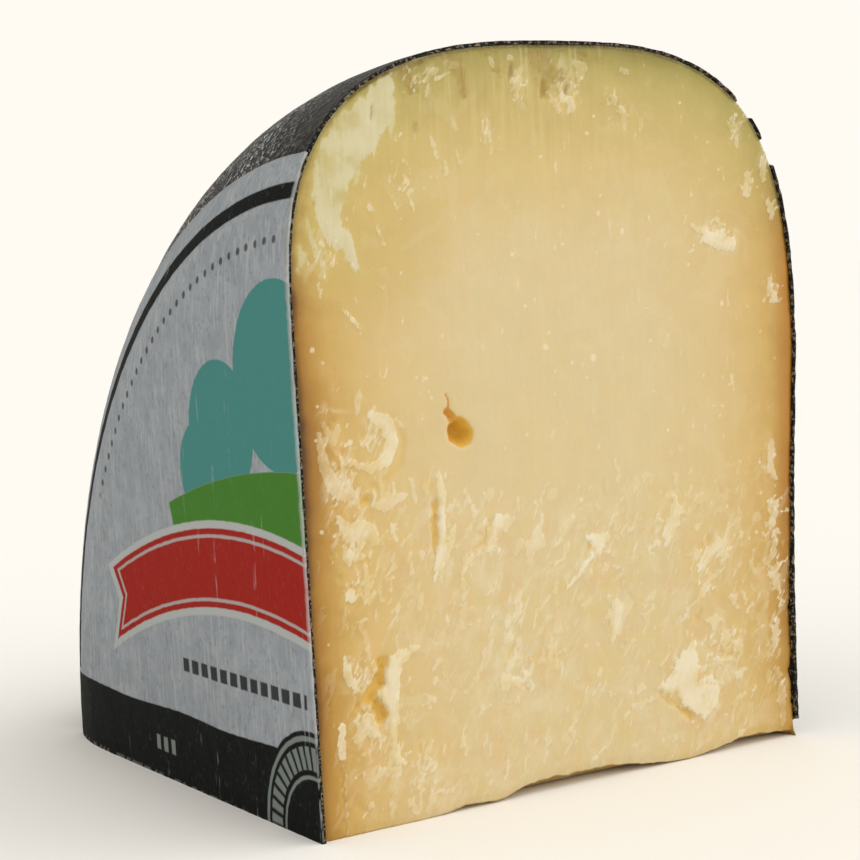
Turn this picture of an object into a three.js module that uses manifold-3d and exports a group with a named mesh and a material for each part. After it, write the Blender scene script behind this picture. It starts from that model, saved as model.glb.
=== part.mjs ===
// A quarter of a small waxed cheese wheel, standing on one of its two cut faces.
// Row frame in millimetres: X along the wheel's axis with the labelled face at -X, the upright
// cut face at -Y, Z up. The origin is the middle of the base of the bounding box.
// Three bodies, as they come apart on a bench: the cheese itself, the black coat that wraps the
// wheel's rim and its two round faces, and the paper label that is glued on one round face.
import * as THREE from "three";
import { mergeVertices } from "three/addons/utils/BufferGeometryUtils.js";
import Module from "manifold-3d";

const wasm = await Module();
wasm.setup();

// Driving dimensions of the whole wheel.
const wheelRadius = 122;
const labelledHalf = 48.8; // middle plane of the wheel to the labelled face
const backHalf = 48.45; // middle plane to the middle of the other round face
const backDish = 3.2; // that face is dished: its shoulder stands this far proud
const crestShift = 1.4; // the widest ring of the rim lies this far towards the dished face
const labelledShoulder = { height: 42.3, power: 2.79 }; // superellipse that rounds the labelled edge
const backShoulder = { height: 52.7, power: 3.11 }; // the same on the other edge, which sagged more
const coatThickness = 1;
const fitGap = 0.3; // air kept between bodies that touch in the real object
const labelRadius = 105;
const labelThickness = 0.25;

// How finely the round shapes are cut.
const shoulderSteps = 12;
const dishSteps = 3;
const turnSegments = 96;

// The eye, a small round-bottomed hole that opens on the upright cut face.
const eye = { x: -20, z: 60.5, width: 4.4, height: 6.4, depth: 5 };
// Lumps that broke out along the front bottom edge: centre along X, length, depth and height.
const edgeChips = [
  { x: -1, length: 30, depth: 7.5, height: 2.2 },
  { x: 14, length: 12, depth: 5, height: 1.2 },
  { x: 39, length: 22, depth: 7.5, height: 1.9 },
];

// One rounded edge as (radius, x), from its round face up to the crest of the rim.
function roundedEdge(shoulder, faceX) {
  const points = [];
  const wallTop = wheelRadius - shoulder.height;
  for (let i = 0; i <= shoulderSteps; i++) {
    const turn = ((i / shoulderSteps) * Math.PI) / 2;
    const up = Math.sin(turn) ** (2 / shoulder.power);
    const out = Math.abs(Math.cos(turn)) ** (2 / shoulder.power);
    const radius = wallTop + shoulder.height * up;
    points.push(new THREE.Vector2(radius, crestShift + (faceX - crestShift) * out));
  }
  return points;
}

// The dished face, from just inside its shoulder back to the axis.
function dishedFace() {
  const points = [];
  const wallTop = wheelRadius - backShoulder.height;
  for (let i = dishSteps - 1; i >= 0; i--) {
    const share = i / dishSteps;
    points.push(new THREE.Vector2(wallTop * share, backHalf + backDish * share ** 2));
  }
  return points;
}

// The whole outside of the wheel, from the axis at the labelled face to the axis at the dished one.
const crestProfile = [
  new THREE.Vector2(0, -labelledHalf),
  ...roundedEdge(labelledShoulder, -labelledHalf),
  ...roundedEdge(backShoulder, backHalf + backDish).reverse().slice(1),
  ...dishedFace(),
];

// The profile moved along its own outward normals: positive is outwards.
function offsetProfile(distance) {
  const last = crestProfile.length - 1;
  return crestProfile.map((point, i) => {
    const before = crestProfile[Math.max(i - 1, 0)];
    const after = crestProfile[Math.min(i + 1, last)];
    const along = after.clone().sub(before).normalize();
    const outward = new THREE.Vector2(along.y, -along.x);
    const onAxis = i === 0 || i === last;
    if (onAxis) outward.set(0, i === 0 ? -1 : 1);
    return point.clone().addScaledVector(outward, distance);
  });
}

// The part of an offset profile on the labelled side that lies under the label, ending on its rim.
function underLabel(distance) {
  const kept = [];
  for (const point of offsetProfile(distance)) {
    const before = kept[kept.length - 1];
    if (point.x >= labelRadius) {
      const share = (labelRadius - before.x) / (point.x - before.x);
      kept.push(before.clone().lerp(point, share));
      break;
    }
    kept.push(point);
  }
  return kept;
}

// A closed mesh as a manifold-3d solid.
function solidFrom(geometry) {
  const bare = geometry.clone();
  bare.deleteAttribute("normal");
  bare.deleteAttribute("uv");
  const merged = mergeVertices(bare, 1e-3);
  return new wasm.Manifold(
    new wasm.Mesh({
      numProp: 3,
      vertProperties: merged.attributes.position.array,
      triVerts: new Uint32Array(merged.index.array),
    }),
  );
}

// And back again, with flat normals.
function geometryFrom(solid) {
  const mesh = solid.getMesh();
  const geometry = new THREE.BufferGeometry();
  geometry.setAttribute("position", new THREE.BufferAttribute(mesh.vertProperties, 3));
  geometry.setIndex(new THREE.BufferAttribute(mesh.triVerts, 1));
  geometry.computeVertexNormals();
  return geometry;
}

// A profile turned a full circle about the wheel's axis, laid along X.
function turned(profile) {
  const lathe = new THREE.LatheGeometry(profile, turnSegments);
  lathe.rotateZ(-Math.PI / 2);
  return solidFrom(lathe);
}

// The cut: everything behind the upright face and above the base face.
const quarterSide = 2 * wheelRadius;
const quarter = solidFrom(
  new THREE.BoxGeometry(quarterSide, quarterSide, quarterSide).translate(
    0,
    wheelRadius,
    wheelRadius,
  ),
);

// An ellipsoid of the given full sizes, for the hollows.
function hollow(x, y, z, sizeX, sizeY, sizeZ) {
  const ball = new THREE.SphereGeometry(0.5, 16, 10);
  ball.scale(sizeX, sizeY, sizeZ);
  ball.translate(x, y, z);
  return solidFrom(ball);
}

function cheeseBody() {
  let body = turned(offsetProfile(-coatThickness - fitGap)).intersect(quarter);
  body = body.subtract(hollow(eye.x, 0, eye.z, eye.width, 2 * eye.depth, eye.height));
  for (const chip of edgeChips) {
    body = body.subtract(hollow(chip.x, 0, 0, chip.length, 2 * chip.depth, 2 * chip.height));
  }
  return geometryFrom(body);
}

function coatShell() {
  const outer = turned(crestProfile);
  const inner = turned(offsetProfile(-coatThickness));
  return geometryFrom(outer.subtract(inner).intersect(quarter));
}

function labelSheet() {
  const gluedSide = underLabel(fitGap);
  const printedSide = underLabel(fitGap + labelThickness);
  const outline = [...printedSide, ...gluedSide.reverse()];
  return geometryFrom(turned(outline).intersect(quarter));
}

function piece(name, geometry, color, roughness) {
  const material = new THREE.MeshStandardMaterial({ color, roughness, metalness: 0 });
  const mesh = new THREE.Mesh(geometry, material);
  mesh.name = name;
  return mesh;
}

const cheeseWheel = new THREE.Group();
cheeseWheel.add(
  piece("cheese_quarter", cheeseBody(), 0xe6cf98, 0.5),
  piece("black_coat", coatShell(), 0x1e1d1b, 0.45),
  piece("paper_label", labelSheet(), 0xa7abab, 0.85),
);

// The origin goes to the middle of the base of the whole object.
const extent = new THREE.Box3().setFromObject(cheeseWheel);
const middle = extent.getCenter(new THREE.Vector3());
cheeseWheel.position.set(-middle.x, -middle.y, -extent.min.z);

export default cheeseWheel;
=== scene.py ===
"""Quarter of a small aged cheese wheel, standing on one of its two cut faces.

Three pieces are modelled around the fixed frame: the cut cheese, the black coat that wraps its rim and
round faces, and the paper label on one round face. Lengths are millimetres in the frame's own axes until a
mesh is made: X runs along the wheel's axis with the label at -X, the upright cut face looks along -Y, and Z
is height above the board.
"""
import math

import bmesh
import bpy
import numpy as np
from mathutils import Matrix, Vector
from mathutils.geometry import delaunay_2d_cdt


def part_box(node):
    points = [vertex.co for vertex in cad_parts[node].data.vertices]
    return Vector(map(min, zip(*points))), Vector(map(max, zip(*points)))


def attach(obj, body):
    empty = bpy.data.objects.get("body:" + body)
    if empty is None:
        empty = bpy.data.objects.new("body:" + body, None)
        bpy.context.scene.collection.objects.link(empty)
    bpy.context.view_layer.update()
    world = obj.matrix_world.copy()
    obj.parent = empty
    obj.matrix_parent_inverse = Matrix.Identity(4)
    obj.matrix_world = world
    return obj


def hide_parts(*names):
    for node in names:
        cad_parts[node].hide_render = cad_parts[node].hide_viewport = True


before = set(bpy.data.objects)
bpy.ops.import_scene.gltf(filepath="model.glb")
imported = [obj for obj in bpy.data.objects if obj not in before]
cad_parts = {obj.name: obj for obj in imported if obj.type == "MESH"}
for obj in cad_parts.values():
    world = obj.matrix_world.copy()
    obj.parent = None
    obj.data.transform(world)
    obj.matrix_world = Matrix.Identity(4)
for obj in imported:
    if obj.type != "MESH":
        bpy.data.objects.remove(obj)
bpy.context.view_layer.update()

bl_info = {
    "name": "Cheese Wheel Quarter",
    "version": (1, 0, 0),
    "blender": (4, 5, 0),
    "location": "View3D > Sidebar > Cheese",
    "description": "Models the cut cheese, its black coat and its paper label around the fixed frame",
    "category": "Add Mesh",
}

MM = 0.001
BAKE_MAP = "OFBake"  # the UV map that holds each piece's bake-map places

# The whole wheel, from the frame's boxes and the shape of its rounded edges.
COAT_LOW, COAT_HIGH = (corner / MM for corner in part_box("black_coat"))
WHEEL_RADIUS = COAT_HIGH.z
AXIS_Y = COAT_LOW.y  # the wheel's axis runs along the front bottom edge
LABELLED_HALF = 48.8  # from the wheel's middle plane to its labelled face
MIDDLE_X = COAT_LOW.x + LABELLED_HALF
BACK_DISH = 3.2
CREST_SHIFT = 1.4  # the widest ring of the rim lies this far behind the middle plane
LABELLED_SHOULDER = (42.3, 2.79)  # height of the rounded edge, and the power of its superellipse
BACK_SHOULDER = (52.7, 3.11)
LABEL_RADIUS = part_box("paper_label")[1].z / MM
QUARTER_TURN = math.pi / 2
CREST_POINTS = 4001  # points along the wheel's outside, before a piece picks its own
NO_RADIUS = 1e-6  # keeps the angle at the wheel's axis from dividing by nothing
WELD_REACH = 0.002  # points closer than this are one point
SPLIT_LEAN = math.radians(62)  # how far the flakes and fibres of the torn face lean over, from the X axis


# ---------------------------------------------------------------- numbers and noise


def fade(low, high, value):
    """0 below low, 1 above high, and a smooth rise between them."""
    share = np.clip((value - low) / (high - low), 0, 1)
    return share * share * (3 - 2 * share)


def swell(x, y, cell, seed):
    """Smooth noise from about -1 to 1, with one swell or hollow to each cell of the plane."""
    turns = np.random.default_rng(seed).random((256, 256)) * 2 * np.pi
    column, row = np.floor(x / cell), np.floor(y / cell)
    u, v = x / cell - column, y / cell - row
    column, row = column.astype(int), row.astype(int)

    def corner(right, up):
        turn = turns[(column + right) % 256, (row + up) % 256]
        return np.cos(turn) * (u - right) + np.sin(turn) * (v - up)

    across = u**3 * (u * (6 * u - 15) + 10)
    upward = v**3 * (v * (6 * v - 15) + 10)
    low = corner(0, 0) * (1 - across) + corner(1, 0) * across
    high = corner(0, 1) * (1 - across) + corner(1, 1) * across
    return 1.6 * (low * (1 - upward) + high * upward)


def rough(x, y, cell, seed, octaves=3):
    """Swells over finer and weaker swells."""
    total = 0
    for octave in range(octaves):
        total = total + swell(x, y, cell / 2**octave, seed + octave) / 2**octave
    return total


def display(red, green, blue):
    """A colour as a screen shows it, 0 to 255, as the linear light that materials use."""
    def linear(level):
        share = level / 255
        return share / 12.92 if share <= 0.04045 else ((share + 0.055) / 1.055) ** 2.4

    return linear(red), linear(green), linear(blue)


# ---------------------------------------------------------------- the wheel's profile


def evenly(points, count):
    """That many points, evenly spaced along a line of points."""
    steps = np.linalg.norm(np.diff(points, axis=0), axis=1)
    along = np.concatenate([[0], np.cumsum(steps)])
    places = np.linspace(0, along[-1], count)
    return np.column_stack([np.interp(places, along, points[:, k]) for k in range(points.shape[1])])


def rounded_edge(shoulder, face_x):
    """One rounded edge as (radius, x), from its round face up to the widest ring of the rim."""
    height, power = shoulder
    turn = np.linspace(0, QUARTER_TURN, 1500)
    up = np.sin(turn) ** (2 / power)
    out = np.abs(np.cos(turn)) ** (2 / power)
    crest_x = MIDDLE_X + CREST_SHIFT
    return np.column_stack([WHEEL_RADIUS - height + height * up, crest_x + (face_x - crest_x) * out])


def crest_profile(count):
    """The wheel's outside as (radius, x), from the axis at the label over the rim to the axis at the back."""
    labelled = rounded_edge(LABELLED_SHOULDER, COAT_LOW.x)
    back = rounded_edge(BACK_SHOULDER, COAT_HIGH.x)
    share = np.linspace(1, 0, 200)
    dish = np.column_stack([back[0, 0] * share, COAT_HIGH.x - BACK_DISH * (1 - share**2)])
    return evenly(np.vstack([[[0, COAT_LOW.x]], labelled, back[::-1][1:], dish[1:]]), count)


def inset(profile, depth):
    """A profile moved inwards along its own normals, by one depth or by one for each point."""
    along = np.gradient(profile, axis=0)
    along /= np.linalg.norm(along, axis=1)[:, None]
    outward = np.column_stack([along[:, 1], -along[:, 0]])
    outward[0], outward[-1] = (0, -1), (0, 1)
    return profile - outward * np.broadcast_to(depth, len(profile))[:, None]


def on_wheel(radius, x, turn):
    """Points of the quarter: turn is the angle back and down from the upright cut face."""
    return np.stack([x + 0 * turn, AXIS_Y + radius * np.sin(turn), radius * np.cos(turn)], axis=-1)


# ---------------------------------------------------------------- meshes


class Shell:
    """Gathers patches of points, faces and bake-map places, and welds them into one closed mesh."""

    def __init__(self):
        self.points, self.faces, self.places, self.marks = [], [], [], {}
        self.count = 0

    def add(self, points, faces, places, **marks):
        """One patch. The places are its points on the bake map; marks are numbers kept for the material."""
        self.points.append(points)
        self.faces.extend([tuple(corner + self.count for corner in face) for face in faces])
        self.places.append(places)
        for name in dict.fromkeys((*self.marks, *marks)):
            held = self.marks.setdefault(name, [np.zeros(self.count)] if self.count else [])
            held.append(np.broadcast_to(marks.get(name, 0.0), len(points)).astype(float))
        self.count += len(points)

    def grid(self, points, places, **marks):
        """A patch of rows of points, joined by four-sided faces."""
        rows, columns = points.shape[:2]
        corner = np.arange(rows * columns).reshape(rows, columns)
        around = (corner[:-1, :-1], corner[:-1, 1:], corner[1:, 1:], corner[1:, :-1])
        faces = np.stack([part.ravel() for part in around], axis=1).tolist()
        flat = {name: np.broadcast_to(value, (rows, columns)).ravel() for name, value in marks.items()}
        self.add(points.reshape(-1, 3), faces, places.reshape(-1, 2), **flat)

    def zip(self, one, other, place, **marks):
        """A strip of triangles between two rows that run the same way and may differ in count."""
        first, second = np.linspace(0, 1, len(one)), np.linspace(0, 1, len(other))
        faces, i, j = [], 0, 0
        while i < len(one) - 1 or j < len(other) - 1:
            step_first = j == len(other) - 1 or (i < len(one) - 1 and first[i + 1] <= second[j + 1])
            if step_first:
                faces.append((i, i + 1, len(one) + j))
                i += 1
            else:
                faces.append((i, len(one) + j + 1, len(one) + j))
                j += 1
        points = np.vstack([one, other])
        self.add(points, faces, np.broadcast_to(place, (len(points), 2)), **marks)

    def build(self, name):
        """The welded mesh as an object, in metres, with smooth faces that all look outwards."""
        mesh = bpy.data.meshes.new(name)
        mesh.from_pydata((np.vstack(self.points) * MM).tolist(), [], self.faces)
        corners = np.zeros(len(mesh.loops), int)
        mesh.loops.foreach_get("vertex_index", corners)
        bake_map = mesh.uv_layers.new(name=BAKE_MAP)
        bake_map.uv.foreach_set("vector", np.vstack(self.places)[corners].astype(np.float32).ravel())
        for mark, values in self.marks.items():
            kept = mesh.attributes.new(mark, "FLOAT", "POINT")
            kept.data.foreach_set("value", np.concatenate(values).astype(np.float32))
        weld = bmesh.new()
        weld.from_mesh(mesh)
        bmesh.ops.remove_doubles(weld, verts=weld.verts, dist=WELD_REACH * MM)
        bmesh.ops.recalc_face_normals(weld, faces=weld.faces)
        weld.to_mesh(mesh)
        weld.free()
        mesh.shade_smooth()
        piece = bpy.data.objects.new(name, mesh)
        bpy.context.scene.collection.objects.link(piece)
        return piece


def fill(outline, spacing):
    """Points and triangles that fill a flat outline. The outline's own points come first, in order."""
    low, high = outline.min(0), outline.max(0)
    xs, ys = np.meshgrid(np.arange(low[0], high[0], spacing), np.arange(low[1], high[1], spacing))
    xs[1::2] += spacing / 2
    inner = np.column_stack([xs.ravel(), ys.ravel()])
    after = np.roll(outline, -1, axis=0)
    inside = np.zeros(len(inner), bool)
    clear = np.full(len(inner), np.inf)
    for (ax, ay), (bx, by) in zip(outline, after):
        spans = (ay > inner[:, 1]) != (by > inner[:, 1])
        crossing = ax + (inner[:, 1] - ay) * (bx - ax) / (by - ay if by != ay else 1.0)
        inside ^= spans & (inner[:, 0] < crossing)
        np.minimum(clear, np.hypot(inner[:, 0] - ax, inner[:, 1] - ay), out=clear)
    inner = inner[inside & (clear > 0.6 * spacing)]
    points = np.vstack([outline, inner])
    ring = [(i, (i + 1) % len(outline)) for i in range(len(outline))]
    corners = [Vector(point) for point in points.tolist()]
    made, _, faces, sources, _, _ = delaunay_2d_cdt(corners, ring, [], 1, 1e-5)
    order = {source: k for k, found in enumerate(sources) for source in found}
    kept = [order[i] for i in range(len(points)) if i in order]
    place = {old: new for new, old in enumerate(kept)}
    if len(kept) != len(points) or len(made) != len(points):
        raise RuntimeError("an outline crosses itself or repeats a point")
    return points, [tuple(place[i] for i in face) for face in faces]


# ---------------------------------------------------------------- materials


class Value:
    """A socket that carries one number. Arithmetic on it adds the Math nodes."""

    def __init__(self, shader, socket):
        self.shader, self.socket = shader, socket

    def _math(self, operation, *terms):
        return Value(self.shader, self.shader.node("Math", {"operation": operation}, dict(enumerate(terms))))

    def __add__(self, other):
        return self._math("ADD", self, other)

    def __sub__(self, other):
        return self._math("SUBTRACT", self, other)

    def __rsub__(self, other):
        return self._math("SUBTRACT", other, self)

    def __mul__(self, other):
        return self._math("MULTIPLY", self, other)

    def __truediv__(self, other):
        return self._math("DIVIDE", self, other)

    __radd__, __rmul__ = __add__, __mul__

    def __abs__(self):
        return self._math("ABSOLUTE", self)

    def root(self):
        return self._math("SQRT", self)

    def sine(self):
        return self._math("SINE", self)

    def above(self, other):
        return self._math("MAXIMUM", self, other)

    def below(self, other):
        return self._math("MINIMUM", self, other)

    def part(self):
        """What is left over after the whole number below it."""
        return self._math("FRACT", self)

    def rise(self, low, high):
        """0 below low, 1 above high, and a smooth rise between them."""
        sockets = {"Value": self, "From Min": low, "From Max": high}
        return Value(self.shader, self.shader.node("MapRange", {"interpolation_type": "SMOOTHSTEP"}, sockets))


class Shader:
    """A material's node tree. One method makes every node; the others name what is often asked of it."""

    def __init__(self, name):
        self.material = bpy.data.materials.new(name)
        self.material.use_nodes = True
        self.tree = self.material.node_tree
        self.tree.nodes.clear()
        self.object_place = self.node("TexCoord", output="Object")

    def node(self, kind, settings=(), sockets=(), output=0):
        """A node of that type, from its settings and then its sockets' values or links. Gives an output."""
        made = self.tree.nodes.new("ShaderNode" + kind)
        for name, setting in dict(settings).items():
            if name == "stops":
                self._set_stops(made.color_ramp, setting)
            else:
                setattr(made, name, setting)
        for name, value in dict(sockets).items():
            source = getattr(value, "socket", value)
            if isinstance(source, bpy.types.NodeSocket):
                self.tree.links.new(source, made.inputs[name])
            elif made.inputs[name].type == "RGBA":
                made.inputs[name].default_value = (*source[:3], 1.0)
            else:
                made.inputs[name].default_value = source
        made.location = (220 * (len(self.tree.nodes) % 12), -260 * (len(self.tree.nodes) // 12))
        return made.outputs[output] if made.outputs else made

    @staticmethod
    def _set_stops(ramp, stops):
        while len(ramp.elements) < len(stops):
            ramp.elements.new(1.0)
        for element, (position, colour) in zip(ramp.elements, stops):
            element.position = position
            element.color = (*colour, 1.0)

    def axes(self):
        """The place on the object along X, Y and Z, in millimetres."""
        split = self.node("SeparateXYZ", sockets={"Vector": self.object_place}).node
        return [Value(self, socket) / MM for socket in split.outputs]

    def mark(self, name):
        """A number that the mesh carries at each of its points."""
        return Value(self, self.node("Attribute", {"attribute_name": name}, output="Fac"))

    def stretched(self, x, y, z):
        """The place on the object, squeezed along each axis by that much."""
        factors = {0: self.object_place, 1: (x, y, z)}
        return self.node("VectorMath", {"operation": "MULTIPLY"}, factors)

    def grain(self, size, detail=3.0, place=None, roughness=0.55, distortion=0.0):
        """Noise from 0 to 1 whose largest swells are about that many millimetres across."""
        sockets = {
            "Vector": place or self.object_place,
            "Scale": 1 / (size * MM),
            "Detail": detail,
            "Roughness": roughness,
            "Distortion": distortion,
        }
        return Value(self, self.node("TexNoise", sockets=sockets, output="Fac"))

    def cells(self, size, place=None, feature="F1"):
        """Distance within rounded cells of about that many millimetres."""
        sockets = {"Vector": place or self.object_place, "Scale": 1 / (size * MM)}
        return Value(self, self.node("TexVoronoi", {"feature": feature}, sockets, "Distance"))

    def mix(self, share, one, other):
        """The first colour where share is 0, and the other where it is 1."""
        return self.node("Mix", {"data_type": "RGBA"}, {0: share, 6: one, 7: other}, 2)

    def tint(self, one, other):
        """One colour multiplied by another."""
        settings = {"data_type": "RGBA", "blend_type": "MULTIPLY"}
        return self.node("Mix", settings, {0: 1.0, 6: one, 7: other}, 2)

    def ramp(self, share, stops):
        """A colour looked up along a row of stops."""
        return self.node("ValToRGB", {"stops": stops}, {"Fac": share}, "Color")

    def grey(self, level):
        """A number as a grey colour."""
        return self.node("CombineXYZ", sockets={"X": level, "Y": level, "Z": level})

    def finish(self, bump, strength, distance, **sockets):
        """The surface itself, with its fine relief."""
        normal = self.node("Bump", sockets={"Height": bump, "Strength": strength, "Distance": distance * MM})
        named = {name.replace("_", " "): value for name, value in sockets.items()}
        surface = self.node("BsdfPrincipled", sockets={**named, "Normal": normal})
        self.node("OutputMaterial", sockets={"Surface": surface})
        return self.material


# ---------------------------------------------------------------- settings

FLOOR_COLOUR = (0.905, 0.893, 0.868)
FLOOR_HALF = 6.0  # half the floor's width, in metres
KEY_FROM = (0.62, -0.78, 0.75)  # the side that the key light comes from
CAMERA_PLACE = (-0.19387, -0.32930, 0.08747)  # metres
CAMERA_AIM = (-0.02661, -0.06100, 0.06144)
CAMERA_ROLL = math.radians(-3.3)
SENSOR_WIDTH = 36  # millimetres


class CheesePasteSettings(bpy.types.PropertyGroup):
    """The cut cheese."""

    paste_colour: bpy.props.FloatVectorProperty(
        name="Paste", description="Colour in the middle of the cut face",
        subtype="COLOR", size=3, min=0, max=1, default=display(203, 184, 139),
    )
    rind_colour: bpy.props.FloatVectorProperty(
        name="Rind", description="Colour of the dry paste beside the coat",
        subtype="COLOR", size=3, min=0, max=1, default=display(92, 58, 9),
    )
    flake_colour: bpy.props.FloatVectorProperty(
        name="Flakes", description="Colour of the torn, pale flakes",
        subtype="COLOR", size=3, min=0, max=1, default=display(219, 209, 181),
    )
    flake_lift: bpy.props.FloatProperty(
        name="Flake lift", description="How far the boldest flakes stand off the cut",
        subtype="DISTANCE", unit="LENGTH", min=0, max=0.002, default=0.00020,
    )
    gouge_depth: bpy.props.FloatProperty(
        name="Gouge depth", description="Depth of the deepest gouge",
        subtype="DISTANCE", unit="LENGTH", min=0, max=0.004, default=0.0013,
    )
    eye_depth: bpy.props.FloatProperty(
        name="Eye depth", description="Depth of the one round eye",
        subtype="DISTANCE", unit="LENGTH", min=0.001, max=0.006, default=0.0030,
    )
    broken_height: bpy.props.FloatProperty(
        name="Broken height", description="Height below which the face was broken and not sliced",
        subtype="DISTANCE", unit="LENGTH", min=0, max=0.12, default=0.047,
    )


class BlackCoatSettings(bpy.types.PropertyGroup):
    """The coat on the rim and the round faces."""

    colour: bpy.props.FloatVectorProperty(
        name="Coat", description="Colour of the coat",
        subtype="COLOR", size=3, min=0, max=1, default=display(20, 19, 17),
    )
    pebble_size: bpy.props.FloatProperty(
        name="Pebble size", description="Width of the pebbles that the mould cloth left",
        subtype="DISTANCE", unit="LENGTH", min=0.0003, max=0.004, default=0.0011,
    )


class PaperLabelSettings(bpy.types.PropertyGroup):
    """The label on one round face."""

    paper_colour: bpy.props.FloatVectorProperty(
        name="Paper", description="Colour of the bare paper",
        subtype="COLOR", size=3, min=0, max=1, default=display(154, 160, 166),
    )
    dark_ink: bpy.props.FloatVectorProperty(
        name="Dark ink", description="Colour of the band, the ring line and the dashes",
        subtype="COLOR", size=3, min=0, max=1, default=display(12, 16, 14),
    )
    bush_ink: bpy.props.FloatVectorProperty(
        name="Bush ink", description="Colour of the rounded bushes",
        subtype="COLOR", size=3, min=0, max=1, default=display(68, 131, 127),
    )
    hill_ink: bpy.props.FloatVectorProperty(
        name="Hill ink", description="Colour of the hill",
        subtype="COLOR", size=3, min=0, max=1, default=display(67, 121, 43),
    )
    banner_ink: bpy.props.FloatVectorProperty(
        name="Banner ink", description="Colour of the bare banner",
        subtype="COLOR", size=3, min=0, max=1, default=display(152, 32, 22),
    )
    ring_radius: bpy.props.FloatProperty(
        name="Ring radius", description="Radius of the ring line",
        subtype="DISTANCE", unit="LENGTH", min=0.06, max=0.104, default=0.0995,
    )


class StudioSettings(bpy.types.PropertyGroup):
    """The floor, the lights and the camera."""

    surround_colour: bpy.props.FloatVectorProperty(
        name="Surround", description="Colour of the floor and the air around it",
        subtype="COLOR", size=3, min=0, max=1, default=display(255, 251, 243),
    )
    air_light: bpy.props.FloatProperty(
        name="Air light", description="How strongly the air around lights the object",
        min=0, max=4, default=0.84,
    )
    key_strength: bpy.props.FloatProperty(
        name="Key light", description="Strength of the light in front on the right",
        min=0, max=20, default=1.45,
    )
    key_softness: bpy.props.FloatProperty(
        name="Key softness", description="How wide the key light looks from the object",
        subtype="ANGLE", unit="ROTATION", min=0, max=math.pi, default=math.radians(80),
    )
    lens: bpy.props.FloatProperty(
        name="Lens", description="Focal length on a 36 mm sensor",
        subtype="DISTANCE_CAMERA", min=10, max=300, default=84.95,
    )


# ---------------------------------------------------------------- the cut cheese

# Marks on the upright cut face. Each mark is its strength, from 0 to 1, and the points of the line that it
# follows: X, height, and half its width there.
SMEAR = [
    (0.95, (-30.6, 115.2, 1.5), (-32.2, 111.4, 2.9), (-35.8, 108.0, 3.9), (-39.4, 104.9, 3.6),
     (-41.3, 101.7, 2.9), (-41.8, 98.5, 2.9), (-42.4, 95.6, 2.0), (-41.6, 93.2, 2.0), (-41.0, 91.2, 1.0)),
    (0.95, (-39.8, 92.4, 1.2), (-38.8, 89.8, 1.0), (-38.2, 87.6, 0.8), (-37.0, 86.1, 0.3)),
    (0.6, (-47.6, 90.7, 0.25), (-46.9, 89.6, 0.55), (-47.7, 87.6, 0.25)),
    (0.6, (-45.9, 94.4, 0.25), (-45.0, 92.2, 0.45), (-44.5, 89.7, 0.4), (-43.2, 86.8, 0.25)),
    (0.7, (-29.6, 113.6, 0.5), (-29.8, 110, 0.5), (-30.6, 107.6, 0.2)),
    (0.7, (-33.4, 105.4, 0.4), (-33.6, 103.8, 0.15)),
    (0.7, (-36.6, 102.4, 0.4), (-36.9, 100.2, 0.15)),
]
PLATES = [
    (0.9, (-31.5, 27.5, 0.7), (-35, 26, 1.3), (-36.3, 21, 1.6), (-36.2, 16, 0.9), (-36.2, 11, 0.6),
     (-34.7, 9.8, 0.4)),
    (0.7, (-44, 28.2, 0.3), (-43.7, 25.2, 0.8), (-42.3, 22.6, 0.7)),
    (0.7, (-42.4, 15.3, 1.0), (-40.6, 17.4, 1.3), (-39.4, 15, 0.9)),
    (0.75, (-45.4, 12.4, 0.5), (-45.6, 14.6, 0.8), (-45.2, 17.4, 0.5)),
    (0.35, (-45.3, 0.5, 0.12), (-45.2, 11.5, 0.18)),
    (0.5, (-29.5, 12, 0.35), (-31, 9, 0.3), (-32, 5, 0.3), (-32.2, 1.8, 0.4)),
    (0.45, (-34, 3.4, 0.3), (-32.6, 1, 0.4)),
    (0.5, (-28.6, 4, 0.4), (-25.4, 3.8, 0.4)),
    (0.45, (-30, 20, 0.4), (-28.4, 18.8, 0.4)),
    (0.4, (-26.4, 22.6, 0.25), (-25.4, 20.5, 0.25)),
    (0.35, (-17, 26, 0.5), (-18.6, 23, 0.5), (-21, 20, 0.4)),
    (0.6, (-43.5, 49.4, 0.5), (-42, 47, 1.3), (-39.6, 47, 1.7), (-37.9, 47, 0.9), (-37.4, 44.8, 0.7)),
    (0.55, (-43, 44.6, 0.5), (-42.3, 42.3, 0.6)),
    (0.55, (-39.7, 43, 0.5), (-41, 43.3, 0.5)),
    (0.75, (-42.9, 37.6, 0.7), (-42.1, 36.8, 0.8)),
    (0.55, (-39.5, 41.6, 0.4), (-39.3, 38, 0.5), (-39.1, 36.2, 0.35)),
    (0.45, (-37.3, 37.6, 0.3), (-36.8, 36, 0.35)),
    (0.5, (-37.2, 50.8, 0.5), (-35.3, 50.3, 0.8), (-33.4, 51.3, 0.9), (-31.4, 51.7, 0.4)),
    (0.5, (-35.7, 53.6, 0.45), (-35.5, 52, 0.4)),
    (0.5, (-46.2, 62.4, 0.4), (-45.7, 58, 0.9), (-44.3, 54.2, 1.1), (-42, 52.6, 0.9)),
    (0.35, (-45.2, 64, 0.5), (-43.7, 61, 0.7), (-42.7, 63.4, 0.5)),
    (0.35, (-41, 33, 0.4), (-40.2, 30.4, 0.4), (-39.7, 28, 0.25)),
]
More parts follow.
